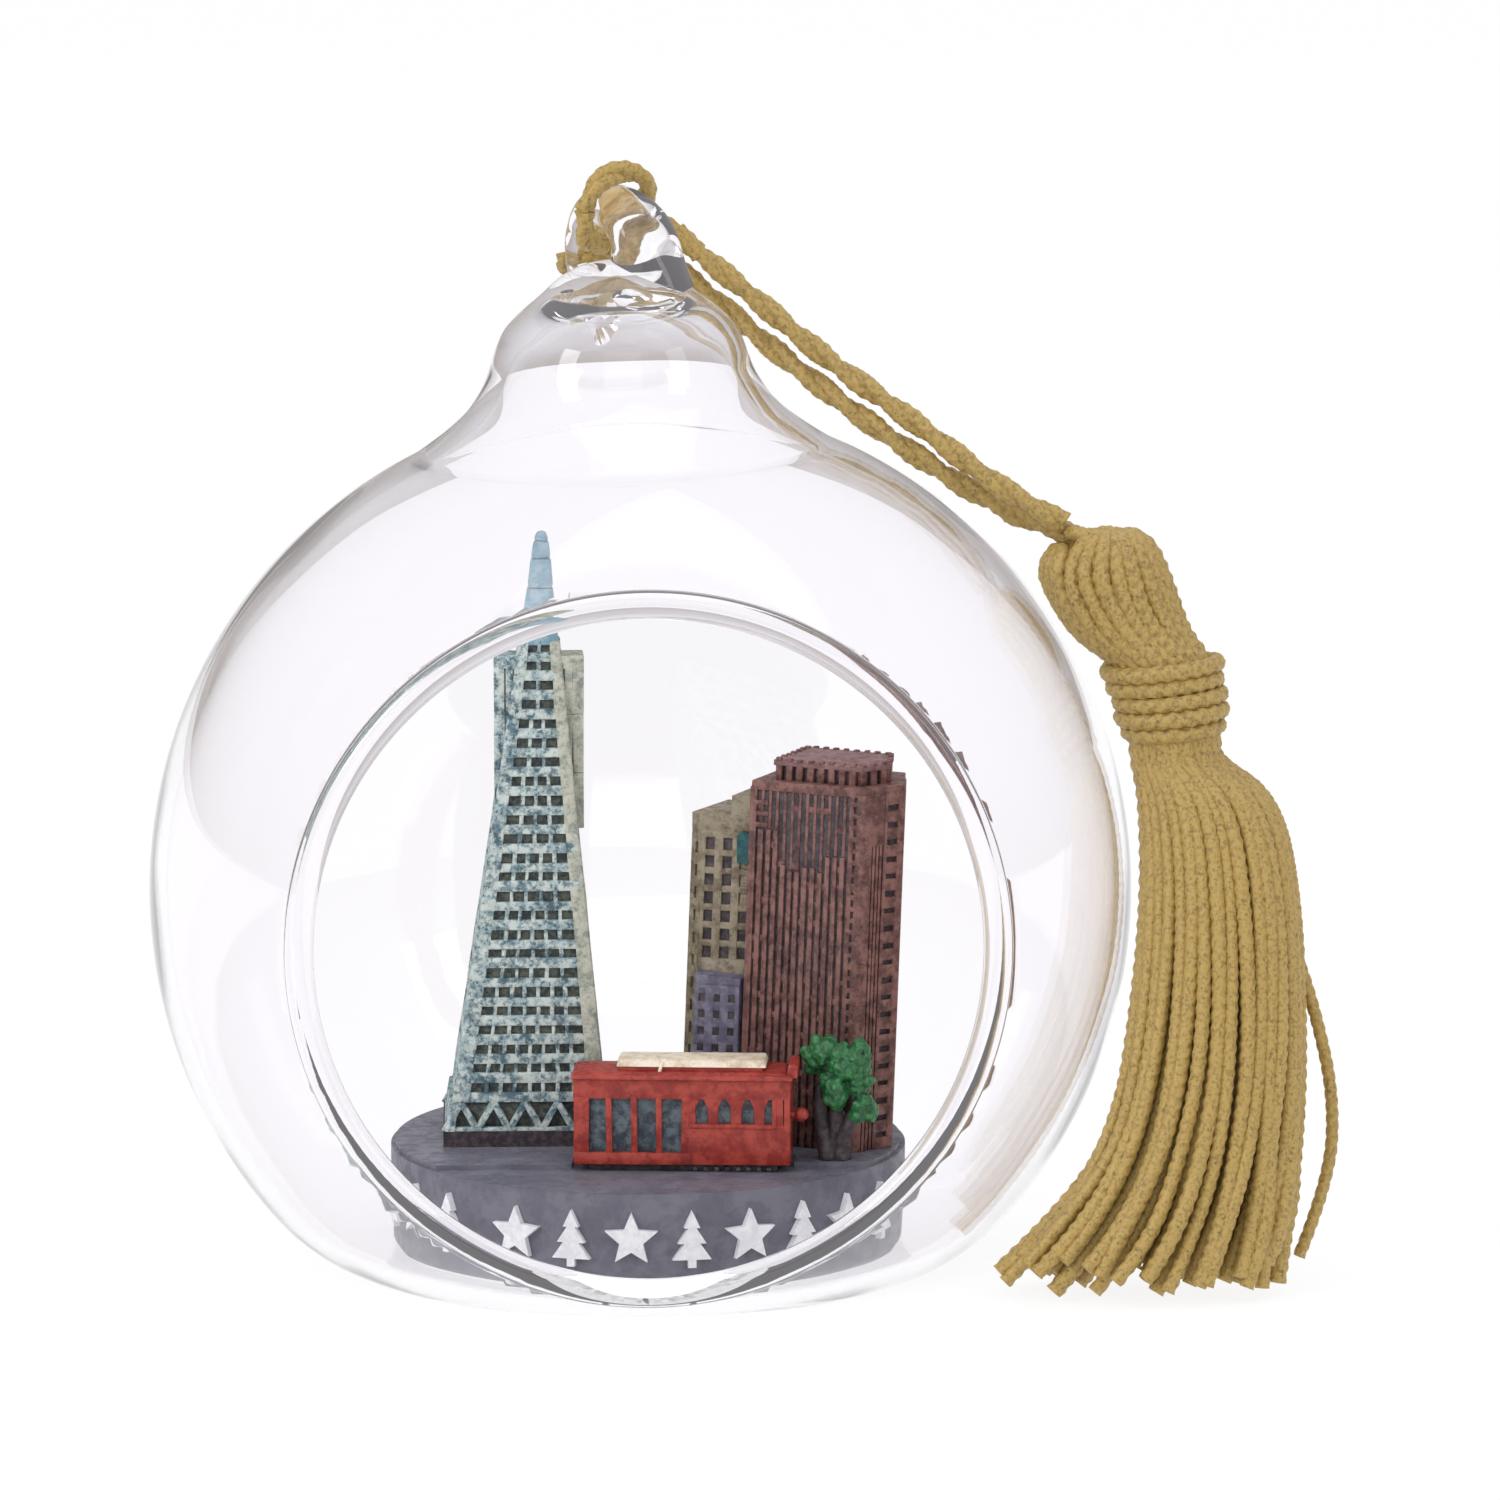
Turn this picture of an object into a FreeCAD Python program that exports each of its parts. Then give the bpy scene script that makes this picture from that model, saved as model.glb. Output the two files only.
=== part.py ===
"""Open glass globe ornament with a small resin townscape inside and a gold tassel on a cord loop.

Millimetres, +Z up. The origin is the centre of the globe's flat foot, on the surface it stands on.
The round opening faces -Y and the tassel hangs on the +X side.
"""
import FreeCAD
import Part
import math
import os

from FreeCAD import Vector

# ---------------------------------------------------------------- driving sizes
GLOBE_R = 40.0                 # outside of the blown globe
GLOBE_Z = 31.1                 # height of the globe's centre over its foot
WALL = 1.4
FOOT_R = 19.5                  # flat part of the foot
OPENING_R = 27.35              # middle of the fire-polished bead round the opening
BEAD_R = 1.17
FLARE_R = 17.0                 # where the neck's flare leaves the globe
NECK_LEAN = 2.1                # degrees, the neck was drawn slightly off upright
NECK_TOP_Z = 82.6
NECK_HOLLOW_Z = 78.2

GLUE_T = 0.4
GLUE_R = 15.0
BASE_X = 0.56
BASE_R = 21.06
STREET_Z = 10.1
PAVEMENT_T = 0.4
PAVEMENT_FRONT_Y = -11.2
PAVEMENT_R = BASE_R - 0.35

MOTIF_PROUD = 0.55
MOTIF_Z = 6.5
MOTIF_H = 4.6
MOTIF_ANGLES = (-76, -63, -50, -31, -18, -5, 8, 21, 34, 47, 60)

TOWER_X = -9.5
TOWER_FRONT_Y = -4.1
TOWER_DEPTH = 12.4
TOWER_W = 13.1
TOWER_PLINTH_H = 1.3
TOWER_TRUSS_H = 2.3
TOWER_TOP_Z = 51.3
TOWER_TOP_X = -8.2
TOWER_TOP_W = 3.25
TOWER_TOP_D = 3.2
TOWER_FOOT_X = -9.2            # middle of the shaft at its foot
TOWER_FOOT_HALF_X = 6.2
TOWER_FOOT_HALF_Y = 5.8
STOREY = 1.5                   # from one row of the tower's windows to the next
SPIRE_NECK_Z = 58.0
SPIRE_NECK_HALF = 0.85
SPIRE_TIP_HALF = 0.45
SPIRE_TIP_Z = 60.2
WING_TOP_Z = 50.2
WING_LOW_Z = 36.0
WING_LEFT_X = -11.9
WING_RIGHT_X = -4.6
WING_HALF_Y = 1.7

LEAN = math.tan(math.radians(2.1))     # the town blocks lean a little to +X
BROWN_TOP_Z = 40.4
CROWN_H = 1.8
TAN_TOP_Z = 37.1
TAN_STEP_H = 1.6
LILAC_TOP_Z = 24.3
TEAL_PANEL_Z = 34.2            # middle of the panel below its arch

TRAM_PLACE = Vector(-5.7, -12.0, STREET_Z)
TRAM_TURN = -4.8
TRAM_L = 17.4
TRAM_W = 5.4
TRAM_FLOOR = 0.6
TRAM_ROOF_Z = 7.6              # heights in the tram's own frame
TRAM_DECK_Z = 8.05
TRAM_CLERESTORY_Z = 8.6

CORD_D = 1.9                   # one leg of the loop, a two-ply twist
HITCH_AT = Vector(-2.1, 0.9, 86.6)
HITCH_AXIS = Vector(-0.66, 0.594, 0.462)
HITCH_R = 3.15
STRAND_D = 1.0                 # one strand of the tassel

BINDING_TOP_Z = 51.1
BINDING_LOW_Z = 43.8
SKIRT_PIVOT = Vector(43.5, -6.4, 39.3)
SKIRT_DOME_R = 4.1


# ---------------------------------------------------------------- helpers
def export(shape, node):
    shape.exportStep("parts/" + node + ".step")


def line(a, b):
    return Part.LineSegment(a, b).toShape()


def arc(a, mid, b):
    return Part.Arc(a, mid, b).toShape()


def revolved(edges):
    """Turn a closed half section, drawn in X and Z, about the Z axis."""
    face = Part.Face(Part.Wire(edges))
    return face.revolve(Vector(0, 0, 0), Vector(0, 0, 1), 360)


def cap_arc(edge, top_z):
    """An arc from a point to the axis that turns into a spherical cap."""
    rise = top_z - edge.z
    radius = (edge.x ** 2 + rise ** 2) / (2 * rise)
    centre = Vector(0, 0, top_z - radius)
    middle = centre + (edge - centre + Vector(0, 0, radius)).normalize() * radius
    return arc(edge, middle, Vector(0, 0, top_z))


def polygon(points):
    corners = [Vector(*p) for p in points]
    return Part.makePolygon(corners + corners[:1])


def leaning_block(plan, low_z, top_z, lean=LEAN, lean_from=STREET_Z):
    """A straight-sided block on a flat plan, whose levels slide to +X as it rises."""
    rings = []
    for z in (low_z, top_z):
        shift = lean * (z - lean_from)
        rings.append(polygon([(x + shift, y, z) for x, y in plan]))
    return Part.makeLoft(rings, True, True)


def tapered_box(low, top):
    """A box given by (x0, x1, y0, y1, z) at its bottom and at its top."""
    rings = []
    for x0, x1, y0, y1, z in (low, top):
        rings.append(polygon([(x0, y0, z), (x1, y0, z), (x1, y1, z), (x0, y1, z)]))
    return Part.makeLoft(rings, True, True)


def box(x0, x1, y0, y1, z0, z1):
    return Part.makeBox(x1 - x0, y1 - y0, z1 - z0, Vector(x0, y0, z0))


def circle_wire(centre, normal, radius):
    return Part.Wire(Part.makeCircle(radius, centre, normal))


def ellipse_wire(x0, x1, y0, y1, z):
    """A level ellipse that fills the given rectangle; it is wider along X than along Y."""
    curve = Part.Ellipse(Vector((x0 + x1) / 2, (y0 + y1) / 2, z), (x1 - x0) / 2, (y1 - y0) / 2)
    return Part.Wire(curve.toShape())


def smooth_body(sections):
    return Part.makeLoft([ellipse_wire(*s) for s in sections], True, False)


def tangent(points, i):
    return (points[min(i + 1, len(points) - 1)] - points[max(i - 1, 0)]).normalize()


def rounded_path(points, name):
    """Straight runs joined by tangent arcs, each as large as its two runs allow."""
    edges = []
    start = points[0]
    radii = []
    for before, corner, after in zip(points, points[1:], points[2:]):
        back = before - corner
        ahead = after - corner
        reach = 0.45 * min(back.Length, ahead.Length)
        turn = math.pi - back.getAngle(ahead)
        radius = reach / math.tan(turn / 2)
        back.normalize()
        ahead.normalize()
        middle = (back + ahead).normalize() * (radius / math.cos(turn / 2) - radius)
        edges.append(line(start, corner + back * reach))
        edges.append(arc(corner + back * reach, corner + middle, corner + ahead * reach))
        start = corner + ahead * reach
        radii.append(round(radius, 1))
    edges.append(line(start, points[-1]))
    print(name, "radii", radii)
    return Part.Wire(edges)


def tube(points, diameter, name):
    path = rounded_path(points, name)
    ring = circle_wire(points[0], points[1] - points[0], diameter / 2)
    solid = Part.Wire(path).makePipeShell([ring], True, False)
    expected = path.Length * math.pi * diameter ** 2 / 4
    print(name, "length", round(path.Length, 1), "volume ratio", round(solid.Volume / expected, 4))
    return solid


# ---------------------------------------------------------------- glass
def globe_lower(radius, foot_z):
    """The lower half of the globe with its flat foot, blended by an arc tangent to both."""
    drop = GLOBE_Z - foot_z
    blend_r = (radius ** 2 - FOOT_R ** 2 - drop ** 2) / (2 * (radius - drop))
    centre = Vector(0, 0, GLOBE_Z)
    blend_centre = Vector(FOOT_R, 0, foot_z + blend_r)
    outward = (blend_centre - centre).normalize()
    meet = centre + outward * radius
    half_way = (outward + Vector(0, 0, -1)).normalize()
    side = centre + Vector(radius, 0, 0)
    foot_edge = Vector(FOOT_R, 0, foot_z)
    lower_mid = centre + (outward + Vector(1, 0, 0)).normalize() * radius
    return revolved([
        line(Vector(0, 0, foot_z), foot_edge),
        arc(foot_edge, blend_centre + half_way * blend_r, meet),
        arc(meet, lower_mid, side),
        line(side, centre),
        line(centre, Vector(0, 0, foot_z)),
    ])


def globe_upper(radius, flare_r, neck, top_z):
    """The upper half of the globe, drawn out into the neck, whose axis leans by NECK_LEAN.

    flare_r is where the neck's flare leaves the globe, and neck gives the edges from there to top_z.
    """
    centre = Vector(0, 0, GLOBE_Z)
    flare = Vector(flare_r, 0, GLOBE_Z + math.sqrt(radius ** 2 - flare_r ** 2))
    low = centre + Vector(radius, 0, 0)
    middle = centre + (flare + low - centre * 2).normalize() * radius
    foot = Vector(0, 0, GLOBE_Z - radius)
    quarter = centre + Vector(radius, 0, -radius).normalize() * radius
    solid = revolved([arc(foot, quarter, low), arc(low, middle, flare)] + neck(flare)
                     + [line(Vector(0, 0, top_z), foot)])
    solid.rotate(centre, Vector(0, 1, 0), -NECK_LEAN)
    return solid.common(box(-50, 50, -50, 50, GLOBE_Z, 100))


def outer_neck(flare):
    """Outside of the neck: a flare out of the globe, a short barrel, a cone and a rounded top."""
    return [
        arc(flare, Vector(12.0, 0, 71.3), Vector(9.6, 0, 76.2)),
        line(Vector(9.6, 0, 76.2), Vector(8.9, 0, 77.2)),
        line(Vector(8.9, 0, 77.2), Vector(4.2, 0, 81.4)),
        cap_arc(Vector(4.2, 0, 81.4), NECK_TOP_Z),
    ]


def inner_neck(flare):
    return [
        arc(flare, Vector(10.6, 0, 70.6), Vector(8.1, 0, 75.6)),
        cap_arc(Vector(8.1, 0, 75.6), NECK_HOLLOW_Z),
    ]


def globe_outside():
    return globe_lower(GLOBE_R, 0).fuse(globe_upper(GLOBE_R, FLARE_R, outer_neck, NECK_TOP_Z))


def globe_inside():
    upper = globe_upper(GLOBE_R - WALL, FLARE_R - WALL * 0.7, inner_neck, NECK_HOLLOW_Z)
    return globe_lower(GLOBE_R - WALL, WALL).fuse(upper)


def opening_bead():
    centre = Vector(0, -math.sqrt(GLOBE_R ** 2 - OPENING_R ** 2) + WALL * 0.7, GLOBE_Z)
    return Part.makeTorus(OPENING_R, BEAD_R, centre, Vector(0, 1, 0))


def glass_globe(bead):
    cutter = Part.makeCylinder(OPENING_R, GLOBE_R, Vector(0, -GLOBE_R - 5, GLOBE_Z), Vector(0, 1, 0))
    return globe_outside().cut(globe_inside()).cut(cutter).cut(bead)


def glass_hook():
    """A thick leg of glass that tapers as it curls over and comes down thin behind."""
    stations = [
        (Vector(0.9, -0.6, 78.9), 3.4),
        (Vector(0.7, -0.8, 82.0), 3.0),
        (Vector(-0.2, -0.7, 84.7), 2.45),
        (Vector(-1.6, 0.4, 86.5), 2.0),
        (Vector(-3.4, 2.1, 86.7), 1.25),
        (Vector(-4.9, 3.5, 85.2), 0.75),
        (Vector(-5.6, 3.9, 82.8), 0.6),
        (Vector(-5.0, 3.1, 80.4), 0.65),
        (Vector(-3.4, 1.9, 78.9), 0.8),
    ]
    centres = [s[0] for s in stations]
    rings = [circle_wire(c, tangent(centres, i), r) for i, (c, r) in enumerate(stations)]
    return Part.makeLoft(rings, True, False).cut(globe_outside())


# ---------------------------------------------------------------- base and motifs
def glue_pad():
    return Part.makeCylinder(GLUE_R, GLUE_T, Vector(BASE_X, 0, WALL))


def diorama_base():
    low_z = WALL + GLUE_T
    foot = Part.makeCone(BASE_R - 0.4, BASE_R, 0.6, Vector(BASE_X, 0, low_z))
    drum = Part.makeCylinder(BASE_R, STREET_Z - low_z - 0.6, Vector(BASE_X, 0, low_z + 0.6))
    return foot.fuse(drum).removeSplitter()


def tram_footprint(margin):
    area = box(-margin, TRAM_L + margin, -margin, TRAM_W + margin, -1, 2)
    return tram_placed(area)


def pavement():
    slab = Part.makeCylinder(PAVEMENT_R, PAVEMENT_T, Vector(BASE_X, 0, STREET_Z))
    front = box(-BASE_R, 2 * BASE_R, -2 * BASE_R, PAVEMENT_FRONT_Y, STREET_Z - 1, STREET_Z + 2)
    return slab.cut(front).cut(tram_footprint(0.25))


def star_outline(radius):
    points = []
    for i in range(10):
        r = radius if i % 2 == 0 else radius * 0.45
        a = math.pi / 2 + i * math.pi / 5
        points.append((r * math.cos(a), r * math.sin(a)))
    return points


def fir_outline(height):
    h = height / 2
    shares = ((0.0, 1.0), (0.28, 0.4), (0.14, 0.4), (0.5, -0.15), (0.28, -0.15),
              (0.68, -0.72), (0.14, -0.72), (0.14, -1.0))
    right = [(x * h, y * h) for x, y in shares]
    left = [(-x, y) for x, y in reversed(right[1:])]
    return right + left


def raised_motif(outline, angle):
    """One flat motif that stands proud of the base's side, centred at an angle from the front."""
    turned = math.radians(angle)
    outward = Vector(math.sin(turned), -math.cos(turned), 0)
    across = Vector(math.cos(turned), math.sin(turned), 0)
    centre = Vector(BASE_X, 0, MOTIF_Z) + outward * (BASE_R - 1.5)
    corners = [centre + across * u + Vector(0, 0, 1) * v for u, v in outline]
    face = Part.Face(Part.makePolygon(corners + corners[:1]))
    ring = Part.makeCylinder(BASE_R + MOTIF_PROUD, 8, Vector(BASE_X, 0, 2.2))
    core = Part.makeCylinder(BASE_R, 9, Vector(BASE_X, 0, 2))
    return face.extrude(outward * 4).common(ring).cut(core)


def relief_motifs():
    """Stars and fir trees in turn round the front of the base."""
    solids = []
    for i, angle in enumerate(MOTIF_ANGLES):
        outline = fir_outline(MOTIF_H) if i % 2 == 0 else star_outline(MOTIF_H * 0.48)
        solids += raised_motif(outline, angle).Solids
    return Part.makeCompound(solids)


# ---------------------------------------------------------------- tall tapered tower
def tower_levels():
    plinth_low = STREET_Z + PAVEMENT_T
    truss_low = plinth_low + TOWER_PLINTH_H
    return plinth_low, truss_low, truss_low + TOWER_TRUSS_H


def tower_plinth():
    low, high, _ = tower_levels()
    lip = 0.15
    half = TOWER_W / 2 + lip
    return box(TOWER_X - half, TOWER_X + half,
               TOWER_FRONT_Y - lip, TOWER_FRONT_Y + TOWER_DEPTH + lip, low, high)


def tower_truss():
    """The open-looking foot storey: a block with triangular bays sunk into its four sides."""
    _, low, high = tower_levels()
    half = TOWER_W / 2
    x0, x1 = TOWER_X - half, TOWER_X + half
    y0, y1 = TOWER_FRONT_Y, TOWER_FRONT_Y + TOWER_DEPTH
    inset = 0.35
    block = tapered_box((x0, x1, y0, y1, low), (x0 + inset, x1 - inset, y0 + inset, y1 - inset, high))
    bays, half_bay, depth = 5, 0.8, 0.6
    for i in range(bays):
        middle = x0 + (i + 0.5) * TOWER_W / bays
        bay = polygon([(middle - half_bay, y0 - 1, low + inset), (middle + half_bay, y0 - 1, low + inset),
                       (middle, y0 - 1, high - inset)])
        through = Part.Face(bay).extrude(Vector(0, 1 + depth, 0))
        block = block.cut(through)
        block = block.cut(through.translated(Vector(0, TOWER_DEPTH + 1 - depth, 0)))
    return block


def shaft_section(z):
    """The shaft's x0, x1, y0, y1 at a height: it narrows evenly from the foot to the top."""
    _, _, low = tower_levels()
    t = (z - low) / (TOWER_TOP_Z - low)
    centre_x = TOWER_FOOT_X + t * (TOWER_TOP_X - TOWER_FOOT_X)
    centre_y = TOWER_FRONT_Y + TOWER_DEPTH / 2
    half_x = TOWER_FOOT_HALF_X + t * (TOWER_TOP_W / 2 - TOWER_FOOT_HALF_X)
    half_y = TOWER_FOOT_HALF_Y + t * (TOWER_TOP_D / 2 - TOWER_FOOT_HALF_Y)
    return centre_x - half_x, centre_x + half_x, centre_y - half_y, centre_y + half_y


def tower_shaft():
    """The tapered shaft with rows of windows sunk into its front."""
    _, _, low = tower_levels()
    shaft = tapered_box(shaft_section(low) + (low,), shaft_section(TOWER_TOP_Z) + (TOWER_TOP_Z,))
    pockets = []
    window_pitch, window_h, window_depth = 1.15, STOREY / 2, 0.3
    z = low + STOREY
    while z < TOWER_TOP_Z - STOREY:
        x0, x1, y0, _ = shaft_section(z)
        pier = 0.9 + 0.25 * (x1 - x0) / TOWER_FOOT_HALF_X
        count = max(2, int((x1 - x0 - 2 * pier) / window_pitch + 0.5))
        pitch = (x1 - x0 - 2 * pier) / count
        for i in range(count):
            left = x0 + pier + (i + 0.15) * pitch
            pockets.append(box(left, left + 0.7 * pitch, y0 - 0.5, y0 + window_depth, z, z + window_h))
        z += STOREY
    return shaft.cut(Part.makeCompound(pockets))


def tower_wing(side):
    """A lift shaft on the side of the tower, upright where the tower leans away from it."""
    _, _, y0, y1 = shaft_section(WING_LOW_Z)
    middle_y = (y0 + y1) / 2
    if side < 0:
        x0, x1 = WING_LEFT_X, TOWER_TOP_X
    else:
        x0, x1 = TOWER_TOP_X, WING_RIGHT_X
    blank = box(x0, x1, middle_y - WING_HALF_Y, middle_y + WING_HALF_Y, WING_LOW_Z, WING_TOP_Z)
    _, _, low = tower_levels()
    core = tapered_box(shaft_section(low) + (low,), shaft_section(TOWER_TOP_Z) + (TOWER_TOP_Z,))
    return max(blank.cut(core).Solids, key=lambda s: s.Volume)


def tower_spire():
    x0, x1, y0, y1 = shaft_section(TOWER_TOP_Z)
    middle_x, middle_y = (x0 + x1) / 2 + 0.15, (y0 + y1) / 2

    def square(half, z):
        return middle_x - half, middle_x + half, middle_y - half, middle_y + half, z

    lower = tapered_box((x0, x1, y0, y1, TOWER_TOP_Z), square(SPIRE_NECK_HALF, SPIRE_NECK_Z))
    upper = tapered_box(square(SPIRE_NECK_HALF, SPIRE_NECK_Z), square(SPIRE_TIP_HALF, SPIRE_TIP_Z))
    return lower.fuse(upper)


# ---------------------------------------------------------------- town blocks
BROWN_PLAN = ((7.8, -2.5), (16.8, -7.7), (20.2, -5.6), (20.6, 0.6), (11.8, 6.0))
TAN_PLAN = ((3.3, 1.8), (4.1, 0.7), (8.3, -0.9), (11.0, 4.7), (6.4, 7.6))
TAN_STEP_PLAN = ((6.4, -0.16), (8.3, -0.9), (11.0, 4.7), (9.1, 5.9))
LILAC_PLAN = ((3.9, -0.9), (7.5, -2.25), (8.15, -1.05), (4.2, 0.45))


def plan_inset(plan, share):
    """The plan drawn in towards its middle by a share of its size."""
    cx = sum(p[0] for p in plan) / len(plan)
    cy = sum(p[1] for p in plan) / len(plan)
    return [(cx + (x - cx) * (1 - share), cy + (y - cy) * (1 - share)) for x, y in plan]


def face_pocket(a, b, share, half_w, depth):
    """The plan of a pocket in the upright face from plan point a to b, at a share of its length."""
    length = math.hypot(b[0] - a[0], b[1] - a[1])
    ux, uy = (b[0] - a[0]) / length, (b[1] - a[1]) / length
    px, py = a[0] + ux * share * length, a[1] + uy * share * length
    proud = 0.4
    corners = ((-half_w, -proud), (half_w, -proud), (half_w, depth), (-half_w, depth))
    return [(px + ux * along - uy * inward, py + uy * along + ux * inward) for along, inward in corners]


def brown_tower():
    """The brown block, with upright grooves between the ribs of its two front faces."""
    low = STREET_Z + PAVEMENT_T
    block = leaning_block(BROWN_PLAN, low, BROWN_TOP_Z)
    grooves = []
    half_groove, groove_depth = 0.22, 0.3
    for a, b, count in ((BROWN_PLAN[0], BROWN_PLAN[1], 8), (BROWN_PLAN[1], BROWN_PLAN[2], 2)):
        for i in range(count):
            plan = face_pocket(a, b, (i + 0.8) / (count + 0.6), half_groove, groove_depth)
            grooves.append(leaning_block(plan, low + 1.2, BROWN_TOP_Z - 1.5))
    return block.cut(Part.makeCompound(grooves))


def brown_tower_crown():
    return leaning_block(plan_inset(BROWN_PLAN, 0.22), BROWN_TOP_Z, BROWN_TOP_Z + CROWN_H)


def face_windows(a, b, rows, columns, first_z, storey, size, depth):
    """Pockets on the upright face that runs from plan point a to b, as leaning blocks."""
    pockets = []
    for row in range(rows):
        z = first_z + row * storey
        for column in range(columns):
            plan = face_pocket(a, b, (column + 0.5) / columns, size[0] / 2, depth)
            pockets.append(leaning_block(plan, z, z + size[1]))
    return Part.makeCompound(pockets)


def tan_block():
    block = leaning_block(TAN_PLAN, STREET_Z + PAVEMENT_T, TAN_TOP_Z)
    return block.cut(face_windows(TAN_PLAN[1], TAN_PLAN[2], 6, 3, 25.2, 1.75, (0.75, 1.0), 0.3))


def tan_block_step():
    return leaning_block(TAN_STEP_PLAN, TAN_TOP_Z, TAN_TOP_Z + TAN_STEP_H)


def lilac_block():
    block = leaning_block(LILAC_PLAN, STREET_Z + PAVEMENT_T, LILAC_TOP_Z)
    return block.cut(face_windows(LILAC_PLAN[0], LILAC_PLAN[1], 6, 3, 15.2, 1.4, (0.6, 0.65), 0.25))


def teal_panel():
    """A thin arched panel on the tan block's front, beside the brown tower."""
    a, b = TAN_PLAN[1], TAN_PLAN[2]
    length = math.hypot(b[0] - a[0], b[1] - a[1])
    along = Vector((b[0] - a[0]) / length, (b[1] - a[1]) / length, 0)
    outward = Vector(along.y, -along.x, 0)
    up = Vector(0, 0, 1)
    half_w, half_h, thick, from_corner = 0.62, 1.0, 0.22, 0.75
    shift = LEAN * (TEAL_PANEL_Z - STREET_Z)
    middle = Vector(b[0] + shift, b[1], TEAL_PANEL_Z) - along * from_corner + outward * 0.02
    arch = Part.makeCylinder(half_w, thick, middle + up * half_h, outward)
    corners = [middle - along * half_w - up * half_h, middle + along * half_w - up * half_h,
               middle + along * half_w + up * half_h, middle - along * half_w + up * half_h]
    plate = Part.Face(Part.makePolygon(corners + corners[:1])).extrude(outward * thick)
    return arch.fuse(plate).removeSplitter()


# ---------------------------------------------------------------- tram
def tram_placed(shape):
    """Move a piece from the tram's own frame, front left corner at the origin, into the town."""
    placed = shape.copy()
    placed.rotate(Vector(0, 0, 0), Vector(0, 0, 1), TRAM_TURN)
    placed.translate(TRAM_PLACE)
    return placed


def arched_pocket(x, width, z0, z1, depth):
    spring = z1 - width / 2
    block = box(x - width / 2, x + width / 2, -0.5, depth, z0, spring)
    crown = Part.makeCylinder(width / 2, depth + 0.5, Vector(x, -0.5, spring), Vector(0, 1, 0))
    return block.fuse(crown)


def tram_body():
    """The car body: an open seating section, a glazed cabin with arched windows and an end platform."""
    low, high = TRAM_FLOOR, TRAM_ROOF_Z
    sill, head = low + 1.0, high - 1.6
    body = box(0, TRAM_L, 0, TRAM_W, low, high)
    pockets = []
    for i in range(4):
        pockets.append(box(1.25 + i * 2.0, 2.5 + i * 2.0, -0.5, 0.9, sill, head))
        pockets.append(arched_pocket(10.1 + i * 1.85, 1.1, low + 3.4, head, 0.5))
    pockets.append(box(16.35, 16.95, -0.5, 0.9, sill, head))
    body = body.cut(Part.makeCompound(pockets))
    return tram_placed(body)


def tram_undercarriage():
    return tram_placed(box(1.2, TRAM_L - 1.0, 0.5, TRAM_W - 0.5, 0, TRAM_FLOOR))


def tram_roof():
    return tram_placed(tapered_box((-0.25, TRAM_L + 0.2, -0.2, TRAM_W + 0.2, TRAM_ROOF_Z),
                                   (0.1, TRAM_L - 0.1, 0.2, TRAM_W - 0.2, TRAM_DECK_Z)))


def tram_clerestory():
    return tram_placed(box(3.7, 15.2, 1.0, TRAM_W - 1.0, TRAM_DECK_Z, TRAM_CLERESTORY_Z))


def tram_clerestory_roof():
    low = TRAM_CLERESTORY_Z
    return tram_placed(tapered_box((3.5, 15.4, 0.8, TRAM_W - 0.8, low),
                                   (3.8, 15.1, 1.2, TRAM_W - 1.2, low + 0.4)))


def tram_headlamp():
    lamp_y, lamp_z = 1.2, 4.6
    stem = Part.makeCylinder(0.28, 0.8, Vector(TRAM_L, lamp_y, lamp_z), Vector(1, 0, 0))
    lamp = Part.makeSphere(0.6, Vector(TRAM_L + 0.85, lamp_y, lamp_z))
    return tram_placed(stem.fuse(lamp))


# ---------------------------------------------------------------- trees
TREE_FOOT = Vector(15.4, -9.8, STREET_Z + PAVEMENT_T)


def tree_trunk():
    trunk = Part.makeCone(0.75, 0.5, 4.5, TREE_FOOT)
    crowns = tree_foliage()
    return max(trunk.cut(crowns).Solids, key=lambda s: s.Volume)


def tree_foliage():
    """A lumpy crown of overlapping balls."""
    clumps = (((15.6, -10.2, 16.3), 1.9), ((16.6, -10.6, 18.9), 2.1), ((13.6, -9.0, 18.6), 1.4),
              ((17.6, -10.9, 15.0), 1.5), ((17.7, -10.6, 17.0), 1.5), ((14.6, -9.6, 19.6), 1.5))
    balls = [Part.makeSphere(r, Vector(*c)) for c, r in clumps]
    return balls[0].multiFuse(balls[1:])


def rear_shrub():
    foot = Vector(0.9, -0.3, STREET_Z + PAVEMENT_T)
    stem = Part.makeCone(0.6, 0.45, 2.6, foot)
    lower = Part.makeSphere(1.5, foot + Vector(0, 0, 3.4))
    upper = Part.makeSphere(1.2, foot + Vector(0.3, 0.2, 5.2))
    return stem.multiFuse([lower, upper])


# ---------------------------------------------------------------- cord and tassel
def route(*places):
    return [Vector(*place) for place in places]


UPPER_LEG = route((3.0, 3.6, 84.3), (5.0, 3.7, 82.6), (9.2, 3.2, 79.2), (15.3, 1.9, 74.1),
                  (22.0, -0.5, 69.5), (27.9, -2.4, 65.0), (31.6, -3.9, 62.8), (34.2, -3.6, 61.4))
LOWER_LEG = route((1.9, 4.0, 82.2), (4.3, 4.8, 80.4), (7.9, 4.9, 77.3), (12.2, 3.2, 73.8),
                  (18.6, 0.4, 69.1), (24.9, -0.9, 64.9), (29.8, -0.9, 62.0), (33.0, -1.5, 60.9))
STRAY_STRAND = route((48.4, -6.8, 40.6), (50.4, -7.6, 34.6), (52.2, -8.3, 28.6), (54.3, -9.3, 22.4),
                     (55.8, -10.5, 15.4), (55.4, -11.2, 8.6), (52.9, -12.0, 2.6))


def cord_hitch(hook):
    """The turn of the loop round the top of the glass hook."""
    ring = Part.makeTorus(HITCH_R, CORD_D / 2, HITCH_AT, HITCH_AXIS)
    return max(ring.cut(hook).Solids, key=lambda s: s.Volume)


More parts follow.
